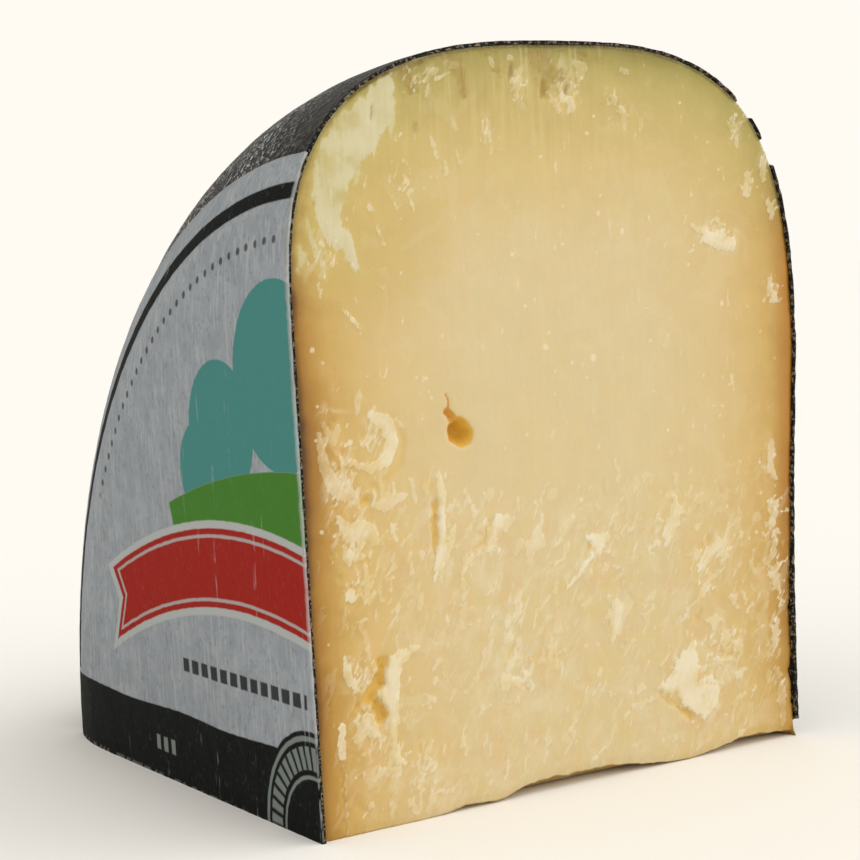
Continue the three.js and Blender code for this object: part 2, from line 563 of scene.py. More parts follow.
SWIRL = [
    (0.75, (-36.8, 64.6, 0.8), (-34.2, 63.2, 1.3), (-33.3, 60.2, 1.1), (-34.5, 57.6, 1.1), (-37.5, 56.3, 0.7),
     (-41.5, 58.1, 0.35)),
    (0.45, (-38.9, 67.6, 0.7), (-39.3, 65, 0.4)),
    (0.4, (-37, 63.4, 0.3), (-37.6, 61, 0.35), (-38.6, 60.1, 0.3)),
    (0.45, (-42.2, 57.4, 0.3), (-42, 54.4, 0.35), (-40.4, 52.4, 0.5)),
    (0.6, (-32.4, 63.6, 0.4), (-31.4, 62.4, 0.35)),
]
RIDGE = [
    (0.9, (-25.2, 54.6, 0.35), (-24.8, 51.5, 0.9), (-25.2, 48, 0.75), (-25.1, 44.5, 0.85), (-26, 40.6, 0.7),
     (-27, 37.5, 0.25)),
    (0.75, (-22.8, 45.6, 0.35), (-23.9, 42.6, 0.7), (-25.5, 39.8, 0.6)),
    (0.35, (-30.3, 54, 0.4), (-29.7, 50.5, 0.35)),
    (0.3, (-27.8, 53, 0.4), (-27.6, 50.8, 0.35)),
    (0.5, (-34.2, 47.5, 0.3), (-33.9, 45, 0.35)),
    (0.45, (-34.2, 42.5, 0.45), (-34.3, 40.4, 0.4)),
    (0.5, (-31.2, 42.6, 0.3), (-31.2, 39.6, 0.35), (-31.5, 38.4, 0.15)),
    (0.45, (-20.4, 51, 0.4), (-19.5, 49, 0.35), (-18.9, 47.4, 0.2)),
    (0.3, (-17.2, 49.6, 0.15), (-17.5, 48, 0.25)),
    (0.45, (-34, 34.8, 0.3), (-34.4, 32.4, 0.35)),
]
SHARDS = [
    (0.85, (-14.2, 46, 0.9), (-15.4, 43.6, 1.1), (-16.2, 41.6, 0.8)),
    (0.8, (-18.4, 41.4, 0.55), (-20.4, 39.7, 0.7), (-21.8, 38, 0.45)),
    (0.6, (-12.9, 45.6, 0.9), (-13, 44, 0.5)),
    (0.5, (-10.8, 45.6, 0.3), (-12.4, 45.4, 0.6)),
    (0.4, (-19.8, 37, 0.25), (-20.2, 35.6, 0.3), (-21.8, 34.5, 0.45)),
    (0.4, (-22.6, 33.2, 0.45), (-21.4, 33.3, 0.4)),
    (0.4, (-18, 34, 0.35), (-15.4, 35.1, 0.45)),
    (0.4, (-23.6, 29.2, 0.2), (-21, 29.7, 0.25), (-18.8, 30.4, 0.2)),
    (0.5, (-7, 43.6, 0.6), (-7.1, 41.3, 1.7), (-8.2, 40.8, 1.2)),
    (0.5, (0, 44.3, 0.8), (-1.5, 43, 0.8), (-2.4, 41.4, 0.55), (-3.6, 40, 0.35)),
    (0.4, (-1.2, 40.2, 0.3), (-2.2, 38, 0.45), (-3.6, 37.3, 0.35)),
    (1.0, (3.2, 40.8, 0.35), (5, 40.2, 0.9), (6.9, 40.3, 0.6), (5.4, 38.8, 0.8), (5, 37.5, 0.3)),
    (0.9, (4.3, 38.1, 0.2), (2.2, 36, 0.45), (0, 34, 0.4), (-1.6, 33, 0.25)),
    (0.6, (3.4, 35.4, 0.35), (3, 34, 0.4)),
    (0.6, (6.6, 35.8, 0.4), (6, 34.4, 0.3)),
    (0.6, (1.1, 29.5, 0.35), (2.7, 30.5, 0.5)),
    (0.5, (8.4, 43, 0.2), (9.1, 41.4, 0.3)),
    (0.5, (13.5, 43.5, 0.3), (12.8, 41.5, 0.45), (11.4, 40.7, 0.3)),
    (0.75, (21.7, 45.8, 0.3), (22, 43.5, 1.1), (21.3, 41, 1.1), (19.8, 39.3, 1.2), (19.7, 37.6, 0.5)),
    (0.7, (18.5, 41.8, 0.15), (20, 41.6, 0.35)),
    (0.6, (16, 37.5, 0.4), (17.8, 38, 0.4)),
    (0.8, (31.6, 36, 1.2), (30.3, 36.2, 1.3), (28.4, 34.8, 0.95), (26.8, 33, 0.75), (26, 32.1, 0.35)),
    (0.5, (32.4, 34.2, 0.7), (31.6, 34.8, 0.6)),
    (0.55, (24.5, 26, 0.35), (26.5, 28.1, 0.5), (28.5, 30.5, 0.45), (31, 31.2, 0.35)),
    (0.6, (21.5, 24.5, 0.3), (23.5, 25, 0.3)),
    (0.45, (27.6, 44, 0.25), (27.2, 42.7, 0.25)),
    (0.75, (-14, 29, 0.6), (-12.4, 29.8, 0.7), (-11.2, 30.4, 0.5)),
    (0.6, (-11, 28.6, 0.4), (-11.3, 28, 0.4)),
    (0.55, (-15.2, 21, 0.3), (-13.4, 22.2, 0.35), (-11.8, 23.2, 0.3)),
    (0.55, (-13.1, 19.1, 0.5), (-11.6, 19.3, 0.5)),
    (0.55, (-15.1, 18, 0.4), (-14, 18, 0.35)),
    (0.35, (-17.6, 16, 0.2), (-14, 16.5, 0.2), (-12.4, 16, 0.2)),
    (0.45, (-9.4, 26.4, 0.2), (-8, 29, 0.25)),
    (0.55, (-7.6, 22, 0.5), (-6, 21.4, 0.6), (-5.4, 23.6, 0.6), (-4.6, 24.1, 0.4)),
    (0.45, (-3.8, 26, 0.4), (-2.6, 26.4, 0.35)),
    (0.75, (8.6, 28.4, 1.4), (7.8, 25, 1.0), (7, 22.8, 0.4)),
    (0.35, (11, 29, 0.8), (9.6, 26.5, 0.8)),
    (0.4, (9.6, 20.6, 0.3), (12, 22.5, 0.3)),
    (0.45, (13.4, 26.5, 0.3), (14.6, 26, 0.5), (16.2, 27.2, 0.3)),
    (0.6, (-2.2, 9, 0.5), (-1.5, 11, 0.5)),
    (0.4, (-3.6, 5.4, 0.2), (-2, 8, 0.25)),
    (0.5, (2, 3.6, 0.25), (5, 5.4, 0.35), (7.2, 8.6, 0.35)),
    (0.45, (10.5, 11.6, 0.3), (12.2, 10.8, 0.35), (15, 11.9, 0.35)),
    (0.4, (-11.8, 4.6, 0.4), (-11.6, 6.6, 0.3)),
    (0.5, (38, 32.4, 0.45), (38.8, 30.5, 0.35)),
    (0.6, (33, 27, 0.45), (33.8, 25.5, 0.45), (34.8, 24.7, 0.3)),
    (0.5, (36, 27, 0.4), (36.5, 25.5, 0.45)),
]
BIG_CHIP = [
    (1.0, (24.4, 20.3, 0.4), (23.3, 17.4, 1.9), (22, 14.6, 2.9), (19.2, 13.6, 1.7), (16.6, 13.6, 0.45)),
    (0.95, (22, 12.5, 1.9), (24.4, 10.2, 2.2), (26, 7.6, 1.1)),
    (0.75, (26, 12, 0.9), (28.2, 11, 1.5), (27.6, 9, 1.3)),
    (0.9, (25.4, 12.9, 0.3), (27, 13.4, 0.35), (30, 12.2, 0.3)),
    (0.45, (16.8, 17, 0.25), (19.2, 19, 0.35)),
    (0.8, (27.5, 23.3, 0.5), (29.4, 23.2, 1.0), (29, 22, 0.5)),
    (0.8, (31, 21.6, 0.4), (32, 19.6, 0.85), (30.8, 18.4, 0.4)),
    (0.65, (34, 18.4, 0.8), (34.6, 16.8, 0.6)),
    (0.7, (28.6, 16.3, 0.25), (31, 16, 0.45), (33.6, 15.5, 0.45)),
    (0.6, (34, 13, 0.8), (35.8, 13.8, 0.4)),
    (0.4, (33.4, 8.4, 0.4), (35, 9.4, 0.4)),
    (0.35, (31.8, 4.6, 0.4), (32.8, 7.2, 0.35)),
]
BACK_EDGE_FLAKES = [
    (0.5, (43.9, 53, 0.6), (43.5, 50, 0.75), (43.3, 48, 0.7), (44.6, 46.3, 0.5)),
    (0.55, (42.6, 41.5, 0.4), (44.6, 41.9, 0.4)),
    (0.6, (44.3, 40, 0.65), (43.2, 38.8, 0.8), (42.2, 38.2, 0.4)),
    (0.5, (45, 36.8, 0.4), (43.8, 37, 0.5), (43.5, 35.4, 0.4), (43.4, 33.4, 0.6), (42.4, 32.5, 0.4)),
    (0.6, (42, 30, 0.4), (43.5, 29, 0.9), (43.9, 27, 0.6), (42.6, 26.8, 0.35)),
    (0.6, (45, 24.6, 0.3), (44.1, 23.4, 0.3)),
    (0.5, (43.6, 20.9, 0.55), (42.6, 19.5, 0.55), (43, 17.4, 0.35)),
    (0.5, (42.5, 13, 0.45), (43.6, 11.5, 0.5)),
    (0.3, (43.8, 9, 0.9), (43.9, 3, 0.6)),
    (0.5, (41.5, 36.4, 0.35), (40.9, 37, 0.3)),
    (0.8, (28.4, 91.2, 0.4), (29.2, 90.5, 0.5), (31, 90.4, 0.5), (31.6, 89, 1.2), (34, 88.2, 1.4),
     (36.6, 87.8, 1.2)),
    (0.7, (32.4, 91.8, 0.3), (33.6, 92, 0.25)),
    (0.7, (34.4, 91.2, 0.25), (35.6, 91, 0.2)),
    (0.45, (27, 92.8, 0.35), (26.8, 92, 0.2)),
    (0.6, (45.2, 81.2, 0.5), (45, 79.6, 0.45), (46, 78.7, 0.6), (46.4, 77.6, 0.5), (45, 77.2, 0.3)),
    (0.55, (44.7, 102, 0.6), (44.7, 99.5, 0.75), (44.5, 98.3, 0.35)),
    (0.6, (41.5, 99.4, 0.4), (41, 98, 0.7), (40.7, 96.3, 0.9)),
    (0.5, (45.4, 94.5, 0.6), (46.3, 93.2, 0.5), (46, 91.6, 0.35)),
    (0.5, (37.2, 108.6, 0.3), (38.1, 107.2, 0.5)),
    (0.45, (39, 105.4, 0.5), (39, 104.4, 0.5)),
]
TOP_FLECKS = [
    (0.6, (-22.8, 116.8, 0.7), (-21.3, 117.2, 0.5)),
    (0.35, (-19.5, 118.3, 0.5), (-17.6, 118, 0.6)),
    (0.5, (-23.3, 114.8, 0.3), (-23.5, 113.2, 0.3)),
    (0.4, (-19, 109.8, 0.3), (-18.2, 108, 0.35)),
    (0.6, (-22.9, 106.6, 0.35), (-22.2, 103.8, 0.35)),
    (0.55, (-28.4, 103.6, 0.2), (-27.8, 102.8, 0.25)),
    (0.8, (-27.9, 100.6, 0.35), (-27.7, 99.5, 0.3)),
    (0.6, (-27.9, 98.6, 0.2), (-27, 95.6, 0.3)),
    (0.55, (-20.7, 103, 0.2), (-20.6, 101.3, 0.5)),
    (0.5, (-18.5, 104.6, 0.25), (-17.9, 102.4, 0.3)),
    (0.5, (-35, 96.6, 0.5), (-34.3, 95.8, 0.4)),
    (0.45, (-33.8, 93.6, 0.25), (-32.7, 90.6, 0.25)),
    (0.4, (-30.9, 98.2, 0.2), (-30, 96, 0.2)),
    (0.6, (-40.6, 81.1, 0.25), (-39.3, 79.8, 0.3), (-37.9, 78, 0.3)),
    (0.35, (-38.6, 83.3, 0.2), (-38, 81.8, 0.2)),
    (0.45, (-34.2, 84.6, 0.25), (-33.3, 84, 0.25)),
    (0.65, (-5.8, 116, 0.45), (-6.2, 114.4, 0.55), (-6.8, 113, 0.25)),
    (0.45, (-11.2, 119, 0.4), (-10.6, 118, 0.4)),
    (0.55, (-7.6, 119.4, 0.5), (-6.9, 119, 0.3)),
    (0.7, (4, 112.4, 0.8), (4.5, 110.9, 0.6)),
    (0.4, (0.3, 112.2, 0.35), (1.1, 112.8, 0.3)),
    (0.5, (5.2, 118.6, 0.4), (7, 117.6, 0.9), (6.2, 115.8, 0.6)),
    (0.5, (12.6, 113.2, 0.5), (13, 112.3, 0.35)),
    (0.9, (14.3, 110.9, 0.55), (14.9, 110.5, 0.55)),
    (0.55, (15, 117.3, 0.5), (16, 117, 0.5)),
    (0.55, (18.6, 109.2, 0.35), (18.3, 107.6, 0.4)),
    (0.5, (-13.2, 109, 0.2), (-13.2, 108.2, 0.25)),
    (0.5, (-12.2, 109.3, 0.25), (-12.2, 108, 0.25)),
    (0.45, (-13, 106.2, 0.25), (-13, 105.4, 0.2)),
    (0.5, (-11.7, 105.3, 0.2), (-11.9, 104.2, 0.25)),
    (0.4, (21.9, 72.9, 0.4), (21.3, 71.2, 0.6)),
    (0.4, (18.8, 89.2, 0.35), (18.4, 88.2, 0.35)),
    (0.4, (27.2, 86.8, 0.3), (28.2, 87, 0.3)),
    (0.45, (35.5, 65, 0.35), (35.8, 63.6, 0.4)),
]
CRYSTALS = [  # single salt-white crystals: X, height, radius
    (-9, 88, 0.5), (13.4, 90.8, 0.6), (8.7, 94, 0.5), (-15.2, 91.5, 0.35), (1.1, 89.2, 0.35),
    (-5, 80.6, 0.4), (-10, 82.7, 0.25), (-3.3, 72.8, 0.6), (-2.5, 75.1, 0.35), (1.8, 69.8, 0.45),
    (6.2, 70.4, 0.7), (8.9, 69.2, 0.35), (11.8, 69.8, 0.35), (-8, 67.1, 0.3), (18.3, 72.4, 0.4),
    (34.3, 77.7, 0.5), (42.5, 72.3, 0.3), (29.5, 65.6, 0.35), (45.6, 67.4, 0.3), (-46.3, 75.3, 0.5),
    (-44.6, 73.3, 0.35), (-37, 70.7, 0.3), (-43.2, 69.7, 0.3), (-23.1, 76, 0.4), (-28.2, 69.8, 0.3),
    (-26.5, 69.5, 0.35), (2.2, 47.2, 0.5), (6.5, 55.5, 0.4), (-7, 47.8, 0.4), (-5, 51.3, 0.35),
    (-4.2, 50.5, 0.35), (-7.8, 59, 0.4), (34.5, 37.5, 0.4), (39.5, 37.4, 0.4), (33.3, 42.7, 0.4),
    (41, 44.1, 0.4), (36.7, 50, 0.35), (41.5, 51.8, 0.3), (32.7, 58.4, 0.35), (33.3, 60.1, 0.45),
    (31.3, 60.3, 0.4), (-2.3, 103.5, 0.4), (9.2, 96.9, 0.4), (7.3, 107.1, 0.4), (6.5, 116, 0.4),
    (12.2, 108.2, 0.25), (32.6, 105.2, 0.35), (39.3, 109.7, 0.4), (43.3, 97.3, 0.35), (19.1, 93, 0.3),
    (27.6, 114.6, 0.25),
]
EYE = [
    (1.0, (-20.9, 60.8, 2.3), (-20.2, 60.1, 2.1)),
    (0.9, (-22.9, 64, 0.75), (-21.9, 62.8, 0.8)),
    (0.6, (-22.9, 66.6, 0.3), (-22.5, 65.2, 0.25), (-22.7, 64.2, 0.4)),
    (0.35, (-20.6, 58.4, 0.2), (-20.7, 57.2, 0.08)),
]
# Gouges and grooves carved into the face; their amber is partly painted shade, and some lie beside the big
# chip and the ridges where their shadows fall.
GOUGES_AND_SHADES = [
    (0.9, (-37.2, 26.4, 0.7), (-38.4, 23.2, 1.2), (-40.4, 20.9, 0.9)),
    (0.9, (-39.2, 19.9, 0.8), (-37.9, 18, 1.1)),
    (0.6, (-42.1, 20.1, 0.45), (-41.8, 19, 0.4)),
    (0.45, (-44.6, 17.3, 0.3), (-45.1, 17, 0.3)),
    (0.55, (-41.2, 28, 0.2), (-41.3, 26.2, 0.35)),
    (0.6, (-45.9, 0.3, 0.2), (-45.8, 10.4, 0.14)),
    (0.6, (-39.3, 51.2, 0.45), (-38.3, 51.7, 0.7)),
    (0.3, (-37.5, 53.7, 0.6), (-36.7, 53.3, 0.6)),
    (0.5, (-44.7, 51.2, 0.4), (-44.1, 50.8, 0.35)),
    (0.5, (-44.6, 40.5, 0.3), (-44, 40, 0.25)),
    (0.5, (-42.3, 59.3, 0.35), (-42.2, 59.6, 0.3)),
    (0.4, (-43.6, 42.1, 0.15), (-41.5, 41.5, 0.2), (-39, 42, 0.15)),
    (0.35, (-26.4, 53.8, 0.35), (-26.8, 52, 0.4)),
    (0.6, (-26.1, 49.7, 0.55), (-26.3, 46, 0.75), (-26.6, 42, 0.45)),
    (0.4, (-16, 46, 0.25), (-17, 43, 0.45), (-19.6, 41.7, 0.3)),
    (0.25, (-33.2, 64.4, 0.3), (-31.9, 62.6, 0.4), (-31.3, 60, 0.7), (-32.1, 56.4, 0.7), (-35, 54.2, 0.6)),
    (0.3, (-31.5, 13, 0.5), (-31, 11, 0.5)),
    (0.3, (-13.6, 23.6, 0.5), (-12.8, 25, 0.5)),
    (0.4, (-11.2, 18.4, 0.2), (-9.8, 17.3, 0.25)),
    (0.35, (7, 26.6, 0.25), (6.4, 25.6, 0.25)),
    (0.7, (20.4, 9.7, 0.25), (21.8, 8.6, 0.55), (23.2, 7.2, 0.4)),
    (0.3, (16.8, 12.3, 0.4), (18.3, 11, 0.9), (19.8, 10, 0.4)),
    (0.45, (25.3, 12.9, 0.25), (24.6, 12.3, 0.25)),
    (0.45, (31, 17.4, 0.25), (32.5, 17, 0.5), (33.2, 17.3, 0.35)),
    (0.3, (25.5, 24, 0.6), (26.5, 25.3, 0.4)),
    (0.3, (27.5, 36.4, 0.5), (29, 37.8, 0.4)),
    (0.35, (3.4, 39.2, 0.4), (4.2, 38.6, 0.3)),
    (0.6, (3.6, 114.9, 0.3), (3.3, 113.7, 0.45)),
    (0.45, (-1, 115.4, 0.45), (-1.3, 113.6, 0.55), (-1.6, 112.8, 0.25)),
    (0.55, (-7, 118, 0.45), (-7.3, 116.6, 0.55), (-7.5, 115.8, 0.25)),
    (0.4, (-10.8, 117.2, 0.3), (-9.5, 117, 0.3)),
    (0.4, (6, 120.2, 0.2), (7.7, 119.5, 0.4)),
    (0.45, (2, 120.2, 0.15), (3.6, 120.4, 0.15)),
    (0.6, (-33.4, 111.8, 0.2), (-33.6, 109.8, 0.2)),
    (0.5, (-44.6, 98, 0.2), (-44.6, 97.3, 0.2)),
    (0.45, (-37.2, 113.2, 0.25), (-33.5, 115.6, 0.3), (-30.4, 117, 0.4)),
    (0.5, (-26.2, 117.8, 0.3), (-24, 118.6, 0.45)),
    (0.3, (6.5, 49.8, 0.1), (6.9, 47, 0.1)),
    (0.35, (45.5, 79.5, 0.25), (46.9, 79.9, 0.25)),
    (0.3, (34.6, 88.4, 0.25), (34.7, 87.8, 0.25)),
    (0.35, (33, 90.5, 0.35), (34.4, 90.4, 0.35)),
    (0.4, (44.6, 48.6, 0.2), (44.7, 47.4, 0.2)),
    (0.3, (43.4, 40.3, 0.2), (44.2, 38.6, 0.2)),
]
STAINS = [  # olive and brown shadows under the rim
    (0.75, (-17.4, 119.6, 0.9), (-17.2, 117, 1.2), (-16.4, 113.6, 0.8)),
    (0.7, (-27.6, 117.5, 1.2), (-26, 114.6, 1.0)),
    (0.8, (-1, 120, 1.0), (-0.6, 118, 1.5), (1, 116.6, 1.5), (3, 116, 1.0)),
    (0.6, (-0.6, 116, 0.7), (-0.8, 113.6, 0.8)),
    (0.4, (-26, 109, 0.5), (-25.8, 107.8, 0.45)),
    (0.35, (-40, 109.2, 0.5), (-44.6, 103, 0.6), (-46.6, 96, 0.5)),
    (0.35, (9, 119.2, 0.6), (13, 119, 0.6)),
    (0.7, (-22, 119.4, 0.4), (-19.6, 119.8, 0.5), (-18.8, 117.6, 0.3)),
    (0.6, (-13, 120, 0.4), (-10, 119.9, 0.5), (-9.6, 116.4, 0.3)),
    (0.7, (-4.4, 120, 0.4), (-2.6, 119.4, 0.6), (-2.4, 115.2, 0.4)),
    (0.6, (5.4, 119.9, 0.4), (8, 118.4, 0.5)),
    (0.6, (-32, 115.2, 0.4), (-29.4, 116.8, 0.5), (-27.8, 117.8, 0.4)),
    (0.45, (47, 98.6, 0.5), (46.9, 96.4, 0.6), (47.6, 94, 0.4)),
]
TORN = [  # where the face tore, as broad soft strokes
    (1.0, (-44, 65, 1.8), (-42.5, 55, 3.5), (-41.5, 46, 3.8), (-42, 38, 2.6), (-41, 32, 1.5)),
    (0.8, (-36.5, 52, 3), (-34, 46, 2.5)),
    (0.7, (-36, 62, 3), (-36, 57, 3)),
    (0.9, (-40, 28, 2.5), (-38.5, 20, 4.5), (-40, 12, 3)),
    (0.7, (-31, 12, 3), (-31, 3, 3)),
    (0.8, (-26, 53, 2.5), (-25.5, 40, 3)),
    (0.8, (-15, 45, 2.8), (-20, 39, 3)),
    (0.7, (-7, 42, 2), (-1, 43, 2.5), (-4, 38, 3)),
    (0.8, (5.5, 40, 2.8), (0, 33, 3)),
    (0.7, (-12, 28, 3), (-12, 19, 3.5), (-6, 22, 2.5)),
    (0.7, (8, 27, 3), (13, 22, 2.5)),
    (0.8, (22, 44, 2.2), (20, 38, 2.8)),
    (0.8, (32, 36, 2.2), (27, 33, 2.2)),
    (0.7, (25, 27, 2.5), (31, 31, 2)),
    (1.0, (21, 15, 4.5), (27, 10, 4.5)),
    (0.9, (31, 21, 3.5), (33, 15, 3.5)),
    (0.9, (43.8, 54, 1.2), (43.7, 42, 1.5), (43.5, 28, 1.6), (43.3, 2, 1.4)),
    (1.0, (31, 90, 1.6), (35.5, 88.6, 2.6)),
    (0.9, (45.6, 81, 1.0), (45.9, 78, 1.3)),
    (0.8, (44.8, 102, 1.0), (44.6, 97.5, 1.0), (46.2, 93, 1.2)),
    (0.8, (41.2, 99, 1.3), (40.7, 96, 1.3)),
    (0.6, (38.6, 108.5, 1.0), (39, 104.5, 1.0)),
    (0.8, (-42, 92, 3), (-45, 87, 1.8)),
    (0.7, (-27, 117, 1.8), (-22, 116, 2.0)),
    (0.8, (-6.5, 117, 1.8), (-6, 113, 1.6)),
    (0.9, (1.5, 118, 2.0), (3, 112.5, 2.2)),
    (0.6, (13, 113, 1.6), (15.5, 110.5, 1.2)),
]
CRUMBS = [  # clusters of small grains: centre, half width, half height, how many
    (33.5, 89.3, 3.6, 1.8, 52), (45.8, 79.4, 1.2, 2.3, 24), (44.7, 100, 0.8, 2.3, 20),
    (41, 97.6, 1.0, 1.8, 18), (46.1, 93.3, 0.8, 1.6, 14), (38.7, 107, 0.8, 1.9, 12),
    (43.4, 38.5, 1.0, 4.3, 44), (43.7, 28.5, 0.8, 2.6, 26), (43.2, 19, 0.7, 2.2, 16),
    (43.8, 50, 0.6, 3.4, 18), (43.6, 7, 0.6, 5, 16), (-42.6, 56, 2.8, 6, 64),
    (-41.5, 45, 2.8, 4, 52), (-38.5, 37.5, 3.6, 2.5, 26), (-37, 60, 3.4, 3.6, 22), (-35, 51.5, 3, 1.8, 26),
    (-40, 24, 3.4, 4, 34), (-38, 14, 3.0, 4.5, 38), (-31, 8, 2.5, 5, 24), (2.6, 113.5, 2.2, 2.6, 34),
    (-6.3, 115, 1.4, 2.4, 24), (-25, 116, 3, 1.4, 22), (13.4, 112, 2.4, 2.4, 18), (-12.5, 106.5, 1.4, 3, 12),
    (24, 13, 4.6, 4.5, 44), (31, 19.5, 3.4, 3.4, 40), (28, 30, 3, 3, 20), (-12, 20, 3, 3.5, 30),
    (-12.5, 29, 2.4, 1.4, 16), (-43.5, 90, 2.4, 2.8, 26), (-29, 100, 2, 5, 14), (6, 38.5, 2.4, 2.2, 18),
    (21, 42, 1.8, 3.6, 20), (30, 35, 2.6, 1.6, 20), (-16, 43, 2.4, 2.6, 22), (-25.5, 45, 1.6, 7, 30),
]
# The broken front edge of the base: X, and how far above the board the face ends there.
LIP = [
    (-48, 0.0), (-31, 0.0), (-26.5, 0.25), (-23.5, 0.8), (-21, 0.7), (-17.5, 0.4), (-15.5, 0.6), (-13.5, 1.3),
    (-10, 2.2), (4, 2.1), (9, 1.7), (13, 1.0), (18, 0.4), (23, 0.15), (28, 0.7), (34, 1.8), (38, 1.8),
    (43, 1.4), (48, 0.9),
]
LIP_DEPTH = 3.5  # how far back the break under that edge runs

FACE_COLUMNS, SIDE_ROWS = 236, 296  # cells across the cut face, and up each of its sides
MARK_REACH = 1.5  # how far outside a mark its mask still tells the distance
UNMARKED = {name: -MARK_REACH for name in ("smear", "gouge", "eye", "stain", "crystal")}
FACE_MAP, SIDE_MAP, BASE_MAP = 0.0063, 0.0012, 0.0036  # how much of the bake map one millimetre takes


def line_cover(x, z, path):
    """How far inside a line of changing half width each point is, in millimetres; negative outside."""
    path = np.array(path, float)
    ends = path[1:] if len(path) > 1 else path
    best = np.full(x.shape, -np.inf)
    for (ax, az, aw), (bx, bz, bw) in zip(path, ends):
        length = max((bx - ax) ** 2 + (bz - az) ** 2, 1e-9)
        share = np.clip(((x - ax) * (bx - ax) + (z - az) * (bz - az)) / length, 0, 1)
        away = np.hypot(x - ax - share * (bx - ax), z - az - share * (bz - az))
        best = np.maximum(best, aw + share * (bw - aw) - away)
    return best


def cover(x, z, marks):
    """For each point, how far it is inside the nearest mark, and that mark's strength."""
    inside, strength = np.full(x.shape, -MARK_REACH), np.zeros(x.shape)
    for power, *path in marks:
        spots = np.array(path, float)
        reach = spots[:, 2].max() + MARK_REACH
        low, high = spots.min(0) - reach, spots.max(0) + reach
        near = (x > low[0]) & (x < high[0]) & (z > low[1]) & (z < high[1])
        found = line_cover(x[near], z[near], path)
        better = found > inside[near]
        inside[near] = np.where(better, found, inside[near])
        strength[near] = np.where(better, power, strength[near])
    return inside, strength


def loose_shards(count, height):
    """Small torn shards strewn over the broken part, most of them leaning to the right."""
    dice = np.random.default_rng(11)
    marks = []
    for _ in range(count):
        x, z = dice.uniform(-44, 43), height * dice.random() ** 0.85
        lean = math.radians(dice.normal(60, 20))
        length, width = dice.uniform(0.5, 2.6), dice.uniform(0.1, 0.32)
        if dice.random() < 0.16:
            length, width = dice.uniform(0.8, 2.2), dice.uniform(0.35, 0.75)
        step_x, step_z = length / 2 * math.cos(lean), length / 2 * math.sin(lean)
        ends = (x - step_x, z - step_z, width * dice.uniform(0.4, 1)), (x + step_x, z + step_z, width)
        marks.append((dice.uniform(0.15, 0.55), *ends))
    return marks


def loose_flecks(count):
    """Short upright flecks and crystals strewn over the sliced part."""
    dice = np.random.default_rng(23)
    marks = []
    for _ in range(count):
        x, z = dice.uniform(-46, 46), dice.uniform(45, 119)
        length, width = dice.exponential(0.7), dice.uniform(0.1, 0.28)
        drift = dice.normal(0, 0.12)
        marks.append((dice.uniform(0.1, 0.5), (x, z, width), (x + drift, z - length, width)))
    return marks


def crumbled():
    """The grains of every cluster, as short leaning marks."""
    dice = np.random.default_rng(37)
    marks = []
    for centre_x, centre_z, reach_x, reach_z, count in CRUMBS:
        for _ in range(count):
            x, z = centre_x + dice.normal(0, 0.55) * reach_x, centre_z + dice.normal(0, 0.55) * reach_z
            lean = math.radians(dice.normal(72, 34))
            length, width = dice.exponential(0.75), dice.uniform(0.1, 0.34)
            tip = (x + length * math.cos(lean), z + length * math.sin(lean), 0.7 * width)
            marks.append((dice.uniform(0.35, 0.95), (x, z, width), tip))
    return marks


def cleavage(x, z):
    """Height of the broken part: flat facets, a few millimetres wide, each tilted its own way."""
    dice = np.random.default_rng(5)
    count = 260
    seeds = np.column_stack([dice.uniform(-52, 52, count), dice.uniform(-4, 64, count)])
    tilts = dice.normal(0, 0.055, (count, 2))
    lifts = dice.normal(0, 0.09, count)
    warped_x = x + 0.9 * rough(x, z, 5, 31) + 0.35 * z
    warped_z = z * 0.8 + 0.9 * rough(x, z, 5, 41)
    nearest = np.full(x.shape, np.inf)
    height = np.zeros(x.shape)
    for (sx, sz), (tx, tz), lift in zip(seeds, tilts, lifts):
        away_x, away_z = warped_x - sx - 0.35 * sz, warped_z - 0.8 * sz
        away = away_x**2 + 0.4 * away_z**2
        closer = away < nearest
        nearest = np.where(closer, away, nearest)
        height = np.where(closer, lift + tx * away_x + tz * away_z, height)
    return height


def lip_height(x):
    """Where the upright face ends above the board."""
    places, heights = np.array(LIP).T
    return np.interp(x, places, heights) * (1 + 0.12 * rough(x, 0 * x, 2.2, 71))


def from_outline(points, outline):
    """Each point's distance from the nearest point of an outline."""
    away = np.full(len(points), np.inf)
    for spot in outline[::2]:
        np.minimum(away, np.hypot(*(points - spot).T), out=away)
    return away


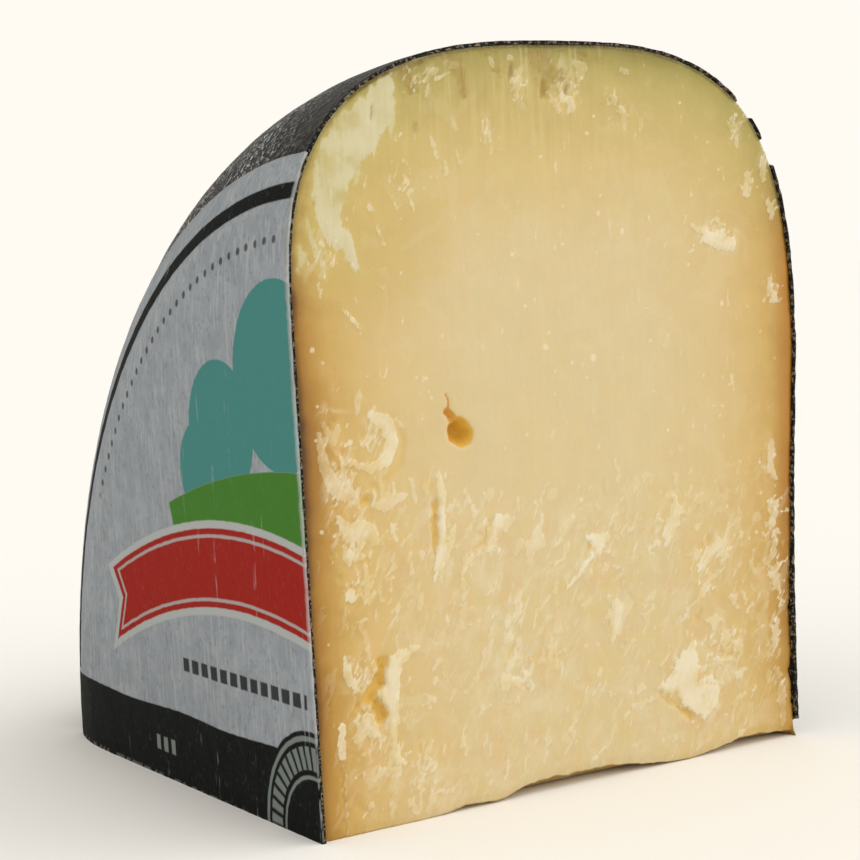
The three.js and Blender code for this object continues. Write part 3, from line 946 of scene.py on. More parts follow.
def face_relief(x, z, rind, look):
    """Depth of the upright face behind the cut plane, and the masks that its material reads."""
    broken = fade(look.broken_height / MM + 5, look.broken_height / MM - 4, z + 3.0 * rough(x, z, 16, 61))
    ragged_x = x + 0.28 * rough(x, z, 1.3, 3) * (0.4 + broken)
    ragged_z = z + 0.4 * rough(x, z, 1.5, 7) * (0.4 + broken)
    drips = z + 0.8 * swell(x, z * 0.2, 1.3, 17) + 0.5 * rough(x, z * 0.5, 0.8, 19, 2)
    smear, smear_power = cover(x + 0.45 * rough(x, z, 1.6, 3), drips, SMEAR)
    bold = PLATES + SWIRL + RIDGE + SHARDS + BIG_CHIP + BACK_EDGE_FLAKES + TOP_FLECKS
    flake, flake_power = cover(ragged_x, ragged_z, bold)
    strewn = loose_shards(620, 50) + loose_flecks(260) + crumbled()
    loose, loose_power = cover(ragged_x, ragged_z, strewn)
    crystal, _ = cover(x + 0.25 * swell(x, z, 0.9, 29), z, [(1.0, spot) for spot in CRYSTALS])
    torn, torn_power = cover(x, z, TORN)
    torn = np.clip(fade(-1.3, 1.2, torn) * torn_power, 0.42 * broken, 1)
    along = x * math.cos(SPLIT_LEAN) + z * math.sin(SPLIT_LEAN)
    across = z * math.cos(SPLIT_LEAN) - x * math.sin(SPLIT_LEAN)
    fibres = 1 - 2 * np.abs(swell(across, along * 0.32, 1.5, 43)) + 0.5 * swell(across, along * 0.5, 0.8, 47)
    gouge, gouge_power = cover(ragged_x, ragged_z, GOUGES_AND_SHADES)
    eye, eye_power = cover(ragged_x, ragged_z, EYE)
    stain, stain_power = cover(ragged_x, ragged_z, STAINS)

    loose_wins = loose > flake
    flake = np.where(loose_wins, loose, flake)
    flake_power = np.where(loose_wins, loose_power, flake_power)
    clean = np.where((x < -30) & (z < 84), fade(1.0, 2.6, rind), 1)
    flake_power, torn = flake_power * clean, torn * clean
    depth = 0.55 + 0 * x
    depth -= 0.10 * broken * cleavage(x, z)
    depth -= 0.05 * torn * fibres + 0.05 * broken * rough(x, z, 2.4, 51)
    depth -= 0.08 * rough(x, z, 14, 57) + 0.012 * swell(x, z * 0.06, 0.9, 83)
    lift = look.flake_lift / MM
    depth -= lift * flake_power * fade(-0.12, 0.3, flake)
    depth -= 0.3 * lift * smear_power * fade(-0.2, 0.6, smear)
    depth += look.gouge_depth / MM * gouge_power * fade(-0.35, 0.9, gouge)
    depth += look.eye_depth / MM * np.sqrt(eye_power) * fade(-0.2, 2.3, eye)
    depth += 0.3 * fade(1.0, 0.0, rind) + 0.25 * fade(1.4, 0.0, z - lip_height(x))
    masks = {
        "flake": flake, "flake_power": flake_power, "smear": smear, "smear_power": smear_power,
        "gouge": gouge, "gouge_power": gouge_power, "eye": eye, "stain": stain, "stain_power": stain_power,
        "crystal": crystal, "torn": torn,
    }
    return np.clip(depth, 0.02, None), masks


def coat_depth(profile):
    """How thick the coat is: thinnest at the label, thickest low on the other side."""
    radius, x = profile.T
    back = fade(0, 20, x)
    thin = 0.14 * fade(98, 101, radius) * fade(116, 112, radius)
    return 0.48 + 0.14 * fade(-46, -25, x) - back * (0.18 + thin - 0.32 * fade(36, 18, radius))


def cheese_inset(profile, ragged):
    """How far inside the wheel's outside the cheese ends: under the coat, and deeper where it crumbled."""
    radius, x = profile.T
    back = fade(0, 20, x)
    along = np.linspace(0, 330, len(profile))
    crumbs = 0.04 + (0.06 + 0.14 * back) * np.abs(rough(along, 0 * along, 2.4, 91, 4))
    gap = back * fade(38, 26, radius) * np.clip(0.3 + 0.5 * rough(along, 0 * along, 4, 96, 4), 0, 0.8)
    return coat_depth(profile) - 0.03 + ragged * (crumbs + gap)


def blend_patch(bottom, top, left, right):
    """A grid of points between four edges that share their corners."""
    u = np.linspace(0, 1, len(bottom))[None, :, None]
    v = np.linspace(0, 1, len(left))[:, None, None]
    across = (1 - u) * left[:, None] + u * right[:, None]
    upward = (1 - v) * bottom[None] + v * top[None]
    low = (1 - u) * bottom[0] + u * bottom[-1]
    high = (1 - u) * top[0] + u * top[-1]
    return across + upward - (1 - v) * low - v * high


def build_cheese(look):
    """The cheese as one closed mesh: the upright face, the base face and the curved side under the coat."""
    crest = crest_profile(2 * SIDE_ROWS + FACE_COLUMNS + 1)
    front = inset(crest, cheese_inset(crest, 1.0))[:, ::-1]  # as (x, height)
    hidden = inset(crest, cheese_inset(crest, 0.0))
    corner = lip_height(front[-1:, 0])[0]
    front[:, 1] = np.maximum(front[:, 1], corner * fade(0, 20, front[:, 0]))
    left, top = front[: SIDE_ROWS + 1], front[SIDE_ROWS : SIDE_ROWS + FACE_COLUMNS + 1]
    right = evenly(front[SIDE_ROWS + FACE_COLUMNS :][::-1], SIDE_ROWS + 1)
    base_x = np.linspace(left[0, 0], right[0, 0], FACE_COLUMNS + 1)
    bottom = np.column_stack([base_x, lip_height(base_x)])
    bottom[0], bottom[-1] = left[0], right[0]
    face = blend_patch(bottom, top, left, right)
    flat = face.reshape(-1, 2)
    rind = from_outline(flat, front)
    depth, masks = face_relief(flat[:, 0], flat[:, 1], rind, look)
    depth = depth.reshape(face.shape[:2])
    points = np.stack([face[..., 0], AXIS_Y + depth, face[..., 1]], axis=-1)
    shell = Shell()
    shaped = {name: mask.reshape(depth.shape) for name, mask in masks.items()}
    shell.grid(points, face_places(face), rind=rind.reshape(depth.shape), **shaped)

    front_edge = np.vstack([points[:, 0], points[-1, 1:], points[::-1, -1][1:]])
    add_hidden_side(shell, hidden, front_edge)
    add_base(shell, points[0], hidden)
    return shell.build("cheese_paste_body")


def face_places(face):
    """The upright face's part of the bake map."""
    return (face + (48.5, 1.0)) * FACE_MAP


def add_hidden_side(shell, hidden, front_edge):
    """The curved side, from the upright face's outline round to the base's outline."""
    count = len(hidden)
    steps = np.linalg.norm(np.diff(hidden, axis=0), axis=1)
    along = np.concatenate([[0], np.cumsum(steps)])
    near = np.column_stack([along, 0 * along])
    far = np.column_stack([along, hidden[:, 0] * QUARTER_TURN])
    flat, faces = fill(np.vstack([near, far[-2:0:-1]]), 3.5)
    radius = np.interp(flat[:, 0], along, hidden[:, 0])
    x = np.interp(flat[:, 0], along, hidden[:, 1])
    turn = np.clip(flat[:, 1] / np.maximum(radius, NO_RADIUS), 0, QUARTER_TURN)
    points = on_wheel(radius, x, turn)
    points[:count] = front_edge
    shell.add(points, faces, flat * SIDE_MAP + (0.63, 0.45), flake=-MARK_REACH, **UNMARKED)


def add_base(shell, front_row, hidden):
    """The cut face that the quarter stands on, with the break under its front edge."""
    rim = np.column_stack([hidden[:, 1], AXIS_Y + hidden[:, 0]])[-2:0:-1]
    outline = np.vstack([front_row[:, :2], rim])
    flat, faces = fill(outline, 1.6)
    x, y = flat.T
    start = np.interp(x, front_row[:, 0], front_row[:, 1])
    back = np.clip((y - start) / LIP_DEPTH, 0, 1)
    height = np.interp(x, front_row[:, 0], front_row[:, 2]) * (1 - back**2)
    rind = from_outline(flat, outline)
    inner = fade(0.5, 3.0, rind)
    height = height + inner * (0.12 + 0.1 * rough(x, y, 6, 101)) * (rind > 0)
    points = np.column_stack([x, y, np.clip(height, 0, None)])
    points[: len(front_row)] = front_row
    points[len(front_row) : len(outline), 2] = 0
    flake, power = cover(x, y - AXIS_Y, loose_shards(260, 118))
    places = (flat + (48.5, -AXIS_Y)) * BASE_MAP + (0.63, 0.0)
    shell.add(points, faces, places, rind=rind + 2.5, flake=flake, flake_power=power, torn=0.5, **UNMARKED)


class PasteGround:
    """What the layers of the paste share: its places, its grains and the masks of its flakes and eye."""

    def __init__(self, shader):
        self.x, y, self.z = shader.axes()
        self.radius = ((y - AXIS_Y) * (y - AXIS_Y) + self.z * self.z).root()
        self.rind, self.torn = shader.mark("rind"), shader.mark("torn")
        self.fine = shader.grain(0.9, 4)
        self.medium = shader.grain(5, 3)
        self.broad = shader.grain(26, 2)
        self.upright = shader.grain(1.1, 3, shader.stretched(1, 1, 0.07))
        lean = {"Vector": shader.object_place, "Rotation": (0, -SPLIT_LEAN, 0), "Scale": (3.2, 1, 1)}
        leaning = shader.node("Mapping", {"vector_type": "TEXTURE"}, lean)
        self.shreds = shader.grain(2.6, 3, leaning, 0.6, 0.8)
        self.splinters = shader.grain(0.55, 2, leaning)
        self.ragged = (self.splinters - 0.5) * 1.1 + (self.fine - 0.5) * 0.7
        self.inside_flake = shader.mark("flake") + self.ragged * 0.55
        self.flake_power = shader.mark("flake_power")
        flake = self.inside_flake.rise(-0.1, 0.12) * self.flake_power
        self.flake = flake * (1 - self.z.rise(98, 108) * 0.35)
        self.eye = (shader.mark("eye") + self.ragged * 0.1).rise(-0.05, 0.14)


def sliced_paste(shader, ground, look):
    """The bare cut: pale in the middle, amber beside the coat and olive under the rim."""
    x, z, rind = ground.x, ground.z, ground.rind
    fine, medium, broad, upright = ground.fine, ground.medium, ground.broad, ground.upright
    inward = rind + z.rise(22, 4) * 1.8 + x.rise(24, 44) * 0.9
    warped = (inward + (broad - 0.5) * 5 + (medium - 0.5) * 1.6) / 40
    paste, dry = tuple(look.paste_colour), tuple(look.rind_colour)
    side = shader.ramp(warped, [
        (0.0, dry), (0.012, display(120, 78, 14)), (0.03, display(148, 103, 26)),
        (0.08, display(171, 129, 51)), (0.16, display(188, 153, 82)), (0.28, display(197, 168, 106)),
        (0.46, display(201, 177, 125)), (0.8, paste),
    ])
    crown = shader.ramp(warped, [
        (0.0, display(132, 120, 46)), (0.05, display(158, 144, 72)), (0.12, display(172, 155, 86)),
        (0.26, display(185, 164, 99)), (0.46, display(196, 173, 112)), (0.72, display(200, 178, 123)),
        (1.0, paste),
    ])
    colour = shader.mix((ground.radius + (broad - 0.5) * 12).rise(78, 112), side, crown)
    corner = 20 + (medium - 0.5) * 14 - ((x + 37) * (x + 37) + (z - 94) * (z - 94)).root()
    colour = shader.mix(corner.rise(0, 12) * 0.6, colour, display(188, 163, 92))
    glow = rind.rise(4.5, 0.4) * x.rise(34, 44) * z.rise(22, 50) * z.rise(94, 80)
    colour = shader.mix(glow * 0.55, colour, display(178, 114, 28))
    mottle = 1 + (medium - 0.5) * 0.10 + (fine - 0.5) * 0.05 + (upright - 0.5) * 0.05
    return shader.tint(colour, shader.grey(mottle))


def torn_paste(shader, ground, colour, look):
    """Soft patches, leaning dips darkened by painted shade, and pale chips where the face tore."""
    torn, splinters = ground.torn, ground.splinters
    drift, shift = shader.grain(9, 4, None, 0.6, 0.9), shader.grain(6, 3, None, 0.55, 1.4)
    patchy = (0.25 + 0.75 * torn) * ground.rind.rise(2.5, 7)
    colour = shader.mix(drift.rise(0.5, 0.6) * patchy * 0.45, colour, display(206, 180, 112))
    colour = shader.mix(drift.rise(0.46, 0.38) * patchy * 0.5, colour, display(212, 197, 157))
    colour = shader.mix(shift.rise(0.53, 0.62) * patchy * 0.42, colour, display(206, 168, 116))
    # Painted shade: the low places between the leaning shreds turn a darker ochre.
    shaded_hollows = (0.47 - ground.shreds + (splinters - 0.5) * 0.2).rise(0.0, 0.1) * torn
    colour = shader.mix(shaded_hollows * 0.16, colour, display(200, 160, 96))
    chips = (ground.shreds - 0.555 + (splinters - 0.5) * 0.3).rise(0.0, 0.05) * torn
    return shader.mix(chips * 0.34, colour, tuple(look.flake_colour))


def stained_paste(shader, ground, colour):
    """The pale seam along the coat, and the stains and upright streaks under the rim."""
    rind, fine, broad, upright = ground.rind, ground.fine, ground.broad, ground.upright
    seam = (0.42 - rind + (fine - 0.5) * 0.5).rise(0.0, 0.16) * ground.z.rise(92, 100)
    colour = shader.mix(seam * (rind * 9).rise(0.0, 1.0) * 0.55, colour, display(206, 200, 172))
    stain = (shader.mark("stain") + (fine - 0.5) * 1.6 + (upright - 0.5) * 1.4).rise(-0.5, 0.5)
    stain = stain * shader.mark("stain_power") * (0.6 + 0.4 * upright.rise(0.42, 0.58))
    stain_tone = shader.mix(fine.rise(0.42, 0.6), display(152, 128, 62), display(142, 112, 30))
    colour = shader.mix(stain, colour, stain_tone)
    crowned = ground.radius.rise(98, 116) * (ground.x + (broad - 0.5) * 16).rise(22, 2)
    colour = shader.mix(upright.rise(0.46, 0.34) * crowned * 0.28, colour, display(162, 142, 70))
    return shader.mix(upright.rise(0.53, 0.66) * crowned * 0.28, colour, display(203, 193, 136))


def smeared_paste(shader, ground, colour):
    """The soft pale smear down the upper corner, with a greener halo around it."""
    x, z, medium, upright = ground.x, ground.z, ground.medium, ground.upright
    smear = shader.mark("smear")
    halo = (smear + (ground.broad - 0.5) * 1.5 + (medium - 0.5) * 1.2).rise(-1.4, 0.2)
    colour = shader.mix(halo * 0.5, colour, display(188, 171, 97))
    smear = smear + (upright - 0.5) * 1.2 + (ground.fine - 0.5) * 1.1 + ground.ragged * 0.3
    smear = smear.rise(-0.22, 0.22) * shader.mark("smear_power")
    thickness = (upright * 0.3 + medium * 0.7).rise(0.36, 0.6)
    tone = shader.mix(thickness, display(180, 167, 106), display(198, 190, 152))
    tone = shader.mix((x + (medium - 0.5) * 8).rise(-41, -35) * 0.5, tone, display(204, 197, 167))
    tone = shader.mix(z.rise(99, 93) * 0.6, tone, display(206, 196, 168))
    return shader.mix(smear * 0.88, colour, tone)


def flaked_paste(shader, ground, colour, look):
    """Pale flakes, thicker in their middles, with a painted highlight: a broken bright line along their
    edges.
    """
    inside, medium, splinters = ground.inside_flake, ground.medium, ground.splinters
    thick = (medium + (splinters - 0.5) * 0.2).rise(0.4, 0.6).above(inside.rise(0.4, 1.0))
    plate = shader.mix(thick, display(214, 197, 150), tuple(look.flake_colour))
    cover_share = 0.85 + 1.2 * (medium - 0.5) + 0.25 * (splinters - 0.5)
    colour = shader.mix((ground.flake * cover_share).below(0.9), colour, plate)
    # Painted highlight: a thin, broken bright line along the edges of the flakes.
    rim = (0.2 - abs(inside - 0.12)).rise(0.0, 0.18) * ground.flake_power
    return shader.mix(rim * splinters.rise(0.45, 0.62) * 0.4, colour, display(224, 216, 192))


def pitted_paste(shader, ground, colour):
    """Amber gouges, whose colour is partly painted shade, the eye, and salt-white crystals and pinpricks."""
    fine, medium, ragged = ground.fine, ground.medium, ground.ragged
    # The gouges' amber, browner near the rim, is partly their own colour and partly painted shade in the
    # recesses and beside the chips and ridges.
    gouge = (shader.mark("gouge") + ragged * 0.35).rise(-0.1, 0.2) * shader.mark("gouge_power")
    gouge_and_shade_tone = shader.mix(ground.z.rise(96, 108), display(214, 172, 74), display(150, 116, 26))
    colour = shader.mix(gouge.below(0.9), colour, gouge_and_shade_tone)
    across_eye = (ground.x + 20.9).rise(-2.4, 2.0)
    amber = shader.mix(across_eye, display(192, 130, 30), display(210, 164, 46))
    colour = shader.mix(ground.eye * 0.94, colour, amber)
    dots = shader.cells(6.5) + (fine - 0.5) * 0.08
    pinprick = (0.05 + (medium - 0.5) * 0.05 - dots).rise(-0.006, 0.02)
    crystal = (shader.mark("crystal") + ragged * 0.35).rise(-0.1, 0.25).above(pinprick)
    return shader.mix(crystal * 0.55, colour, display(224, 211, 184))


def paste_material(look):
    """Aged paste, from the bare cut up to its flakes, gouges and crystals."""
    shader = Shader("cheese_paste")
    ground = PasteGround(shader)
    colour = sliced_paste(shader, ground, look)
    colour = torn_paste(shader, ground, colour, look)
    colour = stained_paste(shader, ground, colour)
    colour = smeared_paste(shader, ground, colour)
    colour = flaked_paste(shader, ground, colour, look)
    colour = pitted_paste(shader, ground, colour)
    fine, flake = ground.fine, ground.flake
    fibres = (0.8 * ground.shreds + 0.3 * ground.splinters) * ground.torn
    relief = 0.4 * fine + 0.2 * ground.upright + fibres + 0.8 * flake
    gloss = 0.46 + 0.16 * flake + 0.1 * ground.eye + 0.12 * (fine - 0.5)
    return shader.finish(
        relief, 0.35, 0.25, Base_Color=colour, Roughness=gloss, Subsurface_Weight=0.12,
        Subsurface_Radius=(1.0, 0.55, 0.2), Subsurface_Scale=0.003, Specular_IOR_Level=0.42,
    )


# ---------------------------------------------------------------- the black coat

COAT_ROWS, COAT_COLUMNS, COAT_INNER_COLUMNS = 300, 168, 28
COAT_SURFACE = 0.03  # the smoothed coat lies this far inside the frame's own
CORNER_HOLE = 3.0  # the coat broke off the back corner up to this radius
COAT_MAP, LINING_MAP = 0.0034, 0.0018  # how much of the bake map one millimetre takes
EDGE_ROWS = 5  # points across the coat's thickness at a cut


def turns_from(cut_back, radius, columns, steepest):
    """The angle at each column, from that far behind the upright cut round to the base."""
    start = np.arcsin(np.clip(cut_back / np.maximum(radius, NO_RADIUS), 0, steepest))[:, None]
    return start + (QUARTER_TURN - start) * np.linspace(0, 1, columns + 1)[None]


def coat_recess(profile):
    """How far the coat's front edge stands back from the cut: ragged, and broken away in a few places."""
    radius, x = profile.T
    along = np.linspace(0, 330, len(profile))
    back = fade(0, 20, x)
    ragged = 0.1 + 0.3 * np.abs(rough(along, 0 * along, 2.6, 131, 4)) * (0.4 + 0.6 * back)
    for low, high in ((109.4, 112.0), (101.7, 105.4)):
        ragged += 4.0 * back * fade(low - 0.3, low + 0.3, radius) * fade(high + 0.3, high - 0.3, radius)
    return ragged


def coat_edge(outer_edge, inner_edge, along, radius, bitten):
    """The coat's thickness at one of its cuts, as rows of points from outside to inside."""
    rows = np.linspace(0, 1, EDGE_ROWS)
    edge = outer_edge[:, None] * (1 - rows[None, :, None]) + inner_edge[:, None] * rows[None, :, None]
    if bitten:
        place = np.broadcast_to(along[:, None], edge.shape[:2])
        bite = rough(place, rows[None] * 1.2 + 0 * place, 0.9, 171)
        edge[:, 1:-1, 1] += 0.22 * np.abs(bite[:, 1:-1]) * np.minimum(radius / 3, 1)[:, None]
    return edge


def build_coat():
    """The coat as one closed shell, pebbled outside, with its broken edges at the two cuts."""
    crest = crest_profile(CREST_POINTS)
    radius, x = crest.T
    crest = evenly(crest[~((x > 0) & (radius < CORNER_HOLE))], COAT_ROWS + 1)
    steps = np.linalg.norm(np.diff(crest, axis=0), axis=1)
    along = np.concatenate([[0], np.cumsum(steps)])
    radius = crest[:, 0]
    recess = coat_recess(crest)
    turn = turns_from(recess, radius, COAT_COLUMNS, 0.6)
    arc = turn * radius[:, None]
    place = np.broadcast_to(along[:, None], arc.shape)
    relief = 0.04 + 0.05 * rough(place, arc, 9, 151) + 0.05 * rough(place, arc, 2.6, 161, 2)
    relief = COAT_SURFACE + np.clip(relief, 0, 0.13)
    outer = np.empty((*arc.shape, 3))
    for column in range(COAT_COLUMNS + 1):
        moved = inset(crest, relief[:, column])
        outer[:, column] = on_wheel(np.maximum(moved[:, 0], 0), moved[:, 1], turn[:, column])
    lining = inset(crest, coat_depth(crest))
    inner_turn = turns_from(recess, radius, COAT_INNER_COLUMNS, 0.6)
    inner = on_wheel(np.maximum(lining[:, :1], 0), lining[:, 1:], inner_turn)

    shell = Shell()
    shell.grid(outer, np.stack([place * COAT_MAP, arc * COAT_MAP], axis=-1))
    inner_arc = inner_turn * radius[:, None]
    inner_place = np.broadcast_to(along[:, None], inner_arc.shape)
    shell.grid(inner, np.stack([inner_place * LINING_MAP, inner_arc * LINING_MAP + 0.66], axis=-1), cut=1.0)
    across = np.linspace(0, 0.01, EDGE_ROWS) + 0 * place[:, :EDGE_ROWS]
    for column, level in ((0, 0.97), (-1, 0.985)):
        edge = coat_edge(outer[:, column], inner[:, column], along, radius, bitten=column == 0)
        shell.grid(edge, np.stack([place[:, :EDGE_ROWS] * COAT_MAP, level + across], axis=-1), cut=1.0)
    shell.zip(outer[-1], inner[-1], (0.99, 0.5), cut=1.0)
    return shell.build("black_coat_shell")


def coat_material(look):
    """Dull black coating, pebbled by the mould cloth, under a painted grey sheen, with pale specks beside the
    label that are partly dust and partly painted glints on the pebble tops.
    """
    shader = Shader("black_coat")
    pebble = look.pebble_size / MM
    drift = shader.node("TexNoise", {}, {"Vector": shader.object_place, "Scale": 1 / (1.4 * MM)}, "Color")
    reach = (0.5 * MM, 0.5 * MM, 0.5 * MM)
    swirl = shader.node(
        "VectorMath", {"operation": "MULTIPLY_ADD"}, {0: drift, 1: reach, 2: shader.object_place},
    )
    bumps = shader.cells(pebble, swirl, "SMOOTH_F1")
    pits = shader.cells(pebble * 0.55, swirl)
    broad = shader.grain(22, 3)
    scuff = shader.grain(3.0, 5, roughness=0.7)
    cut = shader.mark("cut")
    x, y, _ = shader.axes()
    behind = y - AXIS_Y
    # How far the pebbles stand out, growing away from the cut; the same mask sets the painted grey sheen
    # below.
    pebbled = (behind + (scuff - 0.5) * 12).rise(3, 24)
    grit = shader.grain(0.6, 2, roughness=0.7)
    # Dust and painted glints: pale specks on the pebble tops, strongest away from the cut and on the label's
    # side.
    tops = (1 - bumps) * 0.6 + (grit - 0.5) * 2.0 + (scuff - 0.5) * 0.5
    dust_and_glint_side = (x + (broad - 0.5) * 30).rise(-14, -36) * (behind + (broad - 0.5) * 60).rise(106, 70)
    dust_and_glints = tops.rise(0.4, 0.66) * (0.08 + 0.92 * pebbled) * broad.rise(0.2, 0.42)
    dust_and_glints = dust_and_glints * (0.13 + 0.87 * dust_and_glint_side)
    # Painted sheen: the black turns dark grey away from the cut, varied by the scuffs.
    colour = shader.mix(pebbled * 0.5 + (scuff - 0.5) * 0.3, tuple(look.colour), display(37, 37, 36))
    colour = shader.mix(dust_and_glints, colour, display(190, 193, 191))
    # Pale specks on the coat's cut faces: partly bits on the rough cut and partly painted glints.
    specks_and_glints = (shader.grain(0.8, 3) + (shader.grain(0.3, 1) - 0.5) * 0.4).rise(0.5, 0.61) * cut
    colour = shader.mix(specks_and_glints * 0.68, colour, display(146, 130, 104))
    relief = ((1 - bumps) * 0.9 + (1 - pits) * 0.5) * (0.3 + 0.7 * pebbled) + scuff * 0.4
    gloss = 0.38 + 0.24 * scuff + cut * 0.2
    return shader.finish(
        relief, 1.0, 0.9, Base_Color=colour, Roughness=gloss, Specular_IOR_Level=0.12,
    )


# ---------------------------------------------------------------- the paper label

LABEL_ROWS, LABEL_COLUMNS = 118, 150
LABEL_PROUD = 0.27  # the printed side above the coat's crest
LABEL_GLUED = -0.1  # the glued side, sunk in the coat's unevenness
LABEL_MAP = 0.0088  # how much of the bake map one millimetre takes
INK_EDGE = 0.16  # how soft the edge of the print is
PALE_INK = display(172, 175, 175)
RING_HALF = 1.25  # half the width of the ring line
DOTS_RADIUS = 92.5


def build_label():
    """The quarter of the round label: thin, glued down, with a few soft creases and a curled cut edge."""
    crest = crest_profile(CREST_POINTS)
    radius, x = crest.T
    covered = evenly(crest[(x < 0) & (radius <= LABEL_RADIUS)], LABEL_ROWS + 1)
    radius = covered[:, 0]
    back = 0.12 + 0.1 * np.abs(rough(radius, 0 * radius, 5, 191))
    turn = turns_from(back, radius, LABEL_COLUMNS, 0.3)
    behind, height = radius[:, None] * np.sin(turn), radius[:, None] * np.cos(turn)
    waves = 0.06 * rough(behind, height * 0.3, 7, 201) + 0.04 * rough(behind, height, 2.2, 211)
    curl = 0.14 * fade(2.0, 0, behind) * fade(10, 60, height)
    proud = np.clip(LABEL_PROUD + waves + curl, 0.12, 0.5)
    glued = np.full(proud.shape, LABEL_GLUED)
    places = np.stack([behind, height], axis=-1) * LABEL_MAP + 0.004
    shell = Shell()
    sides = []
    for lift, where in ((proud, places), (glued, places * 0.08 + (0.9, 0.9))):
        side = np.empty((*turn.shape, 3))
        for column in range(LABEL_COLUMNS + 1):
            moved = inset(covered, -lift[:, column])
            moved[-1] = inset(covered, -lift[-1, column])[-2] + covered[-1] - covered[-2]
            side[:, column] = on_wheel(np.maximum(moved[:, 0], 0), moved[:, 1], turn[:, column])
        shell.grid(side, where)
        sides.append(side)
    for edge in (np.s_[:, 0], np.s_[:, -1], np.s_[-1]):
        rows = np.stack([side[edge] for side in sides])
        shell.grid(rows, np.full((*rows.shape[:2], 2), 0.97), edge=1.0)
    return shell.build("paper_label_sheet")


class LabelGround:
    """What the layers of the print share: the places on the sheet and the paper's grains."""

    def __init__(self, shader):
        _, y, z = shader.axes()
        wobble = (shader.grain(2.2, 3) - 0.5) * 0.25
        self.y, self.z = y - AXIS_Y + wobble, z + wobble
        self.radius = (self.y * self.y + self.z * self.z).root()
        self.angle = Value(shader, shader.node("Math", {"operation": "ARCTAN2"}, {0: self.y, 1: self.z}))
        self.fibre = shader.grain(0.5, 4, shader.stretched(1, 1, 0.4), 0.7)
        self.cloud = shader.grain(4, 4)
        self.fleck = shader.grain(1.3, 3)

    def disc(self, centre_y, centre_z, size):
        """How far inside a disc each point is."""
        away_y, away_z = self.y - centre_y, self.z - centre_z
        return size - (away_y * away_y + away_z * away_z).root()


def inked(inside):
    """The print's mask, from how far inside its shape each point is."""
    return inside.rise(-INK_EDGE, INK_EDGE)


def repeated(along, pitch):
    """The place within a row of equal steps, from the middle of each step."""
    return ((along / pitch).part() - 0.5) * pitch


def bare_paper(shader, sheet, look):
    """Clouded, flecked and grooved paper."""
    grooves = shader.grain(0.8, 3, shader.stretched(1, 1, 0.1))
    paper = tuple(look.paper_colour)
    colour = shader.mix(sheet.cloud.rise(0.35, 0.65) * 0.5, paper, display(132, 138, 144))
    colour = shader.mix(sheet.fleck.rise(0.54, 0.7) * 0.4, colour, display(108, 113, 119))
    colour = shader.mix(sheet.fibre.rise(0.5, 0.66) * 0.35, colour, display(122, 127, 132))
    return shader.mix(grooves.rise(0.5, 0.7) * 0.38, colour, display(184, 189, 193))


def printed_hill(shader, sheet, colour, look):
    """Rounded bushes over a plain hill."""
    y, z = sheet.y, sheet.z
    bushes = sheet.disc(5, 71.5, 15).above(sheet.disc(26, 62.5, 11.5)).above(sheet.disc(33.5, 55.5, 8.5))
    hill_top = 57.0 - y * y * 0.0034 - z
    colour = shader.mix(inked(bushes.below(0 - hill_top)), colour, tuple(look.bush_ink))
    hill = hill_top.below(z - 40).below(47.5 - y + (z - 50) * 0.3)
    return shader.mix(inked(hill), colour, tuple(look.hill_ink))


def printed_banner(shader, sheet, colour, look):
    """A bare arched banner with a pale outline and a pale line inside it."""
    y, z = sheet.y, sheet.z
    arch = abs(z - 41.5 + y * 0.06 + (y - 30) * (y - 30) * 0.0042)
    banner = (6.6 - arch).below((70 - y + arch * 0.55) * 0.8).below(y + 9)
    colour = shader.mix(inked(banner + 1.3), colour, PALE_INK)
    colour = shader.mix(inked(banner), colour, tuple(look.banner_ink))
    return shader.mix(inked(0.28 - abs(banner - 1.3)) * 0.8, colour, PALE_INK)


def printed_lines(shader, sheet, colour, look):
    """The ring line, the row of dots inside it and the row of dashes."""
    y, z, angle = sheet.y, sheet.z, sheet.angle
    ring = (RING_HALF - abs(sheet.radius - look.ring_radius / MM)).below(z - 13.5)
    dot_along, dot_across = repeated(angle * DOTS_RADIUS, 3.1), sheet.radius - DOTS_RADIUS
    dots = 0.62 - (dot_along * dot_along + dot_across * dot_across).root()
    dots = dots.below((1.02 - angle) * 20).below((angle - 0.03) * 20)
    dashes = (1.25 - abs(repeated(y, 3.6))).below(1.15 - abs(z - 21.6)).below(46 - y).below(y - 2)
    lines = inked(ring).above(inked(dots) * 0.75).above(inked(dashes) * 0.9)
    return shader.mix(lines, colour, tuple(look.dark_ink))


def printed_band(shader, sheet, colour, look):
    """The dark band at the bottom, with three bare blocks, and the rosette of rings and spokes."""
    y, z = sheet.y, sheet.z
    band = (12.6 + (y * 0.16).sine() * 0.25 - z).below(look.ring_radius / MM + RING_HALF - sheet.radius)
    rosette = sheet.disc(1.5, 0, 17.2)
    colour = shader.mix(inked(band.above(rosette)), colour, tuple(look.dark_ink))
    spokes = (0.32 - abs(repeated(sheet.angle * 7, 1))).below(rosette - 2.4).below(6 - rosette)
    rings = (0.4 - abs(rosette - 1.2)).above(0.3 - abs(rosette - 7.2)).above(spokes * 1.2)
    blocks = (0.8 - abs(repeated(y, 3))).below(1.3 - abs(z - 6)).below(60.2 - y).below(y - 50.6)
    return shader.mix(inked(rings.above(blocks)) * 0.7, colour, display(140, 150, 146))


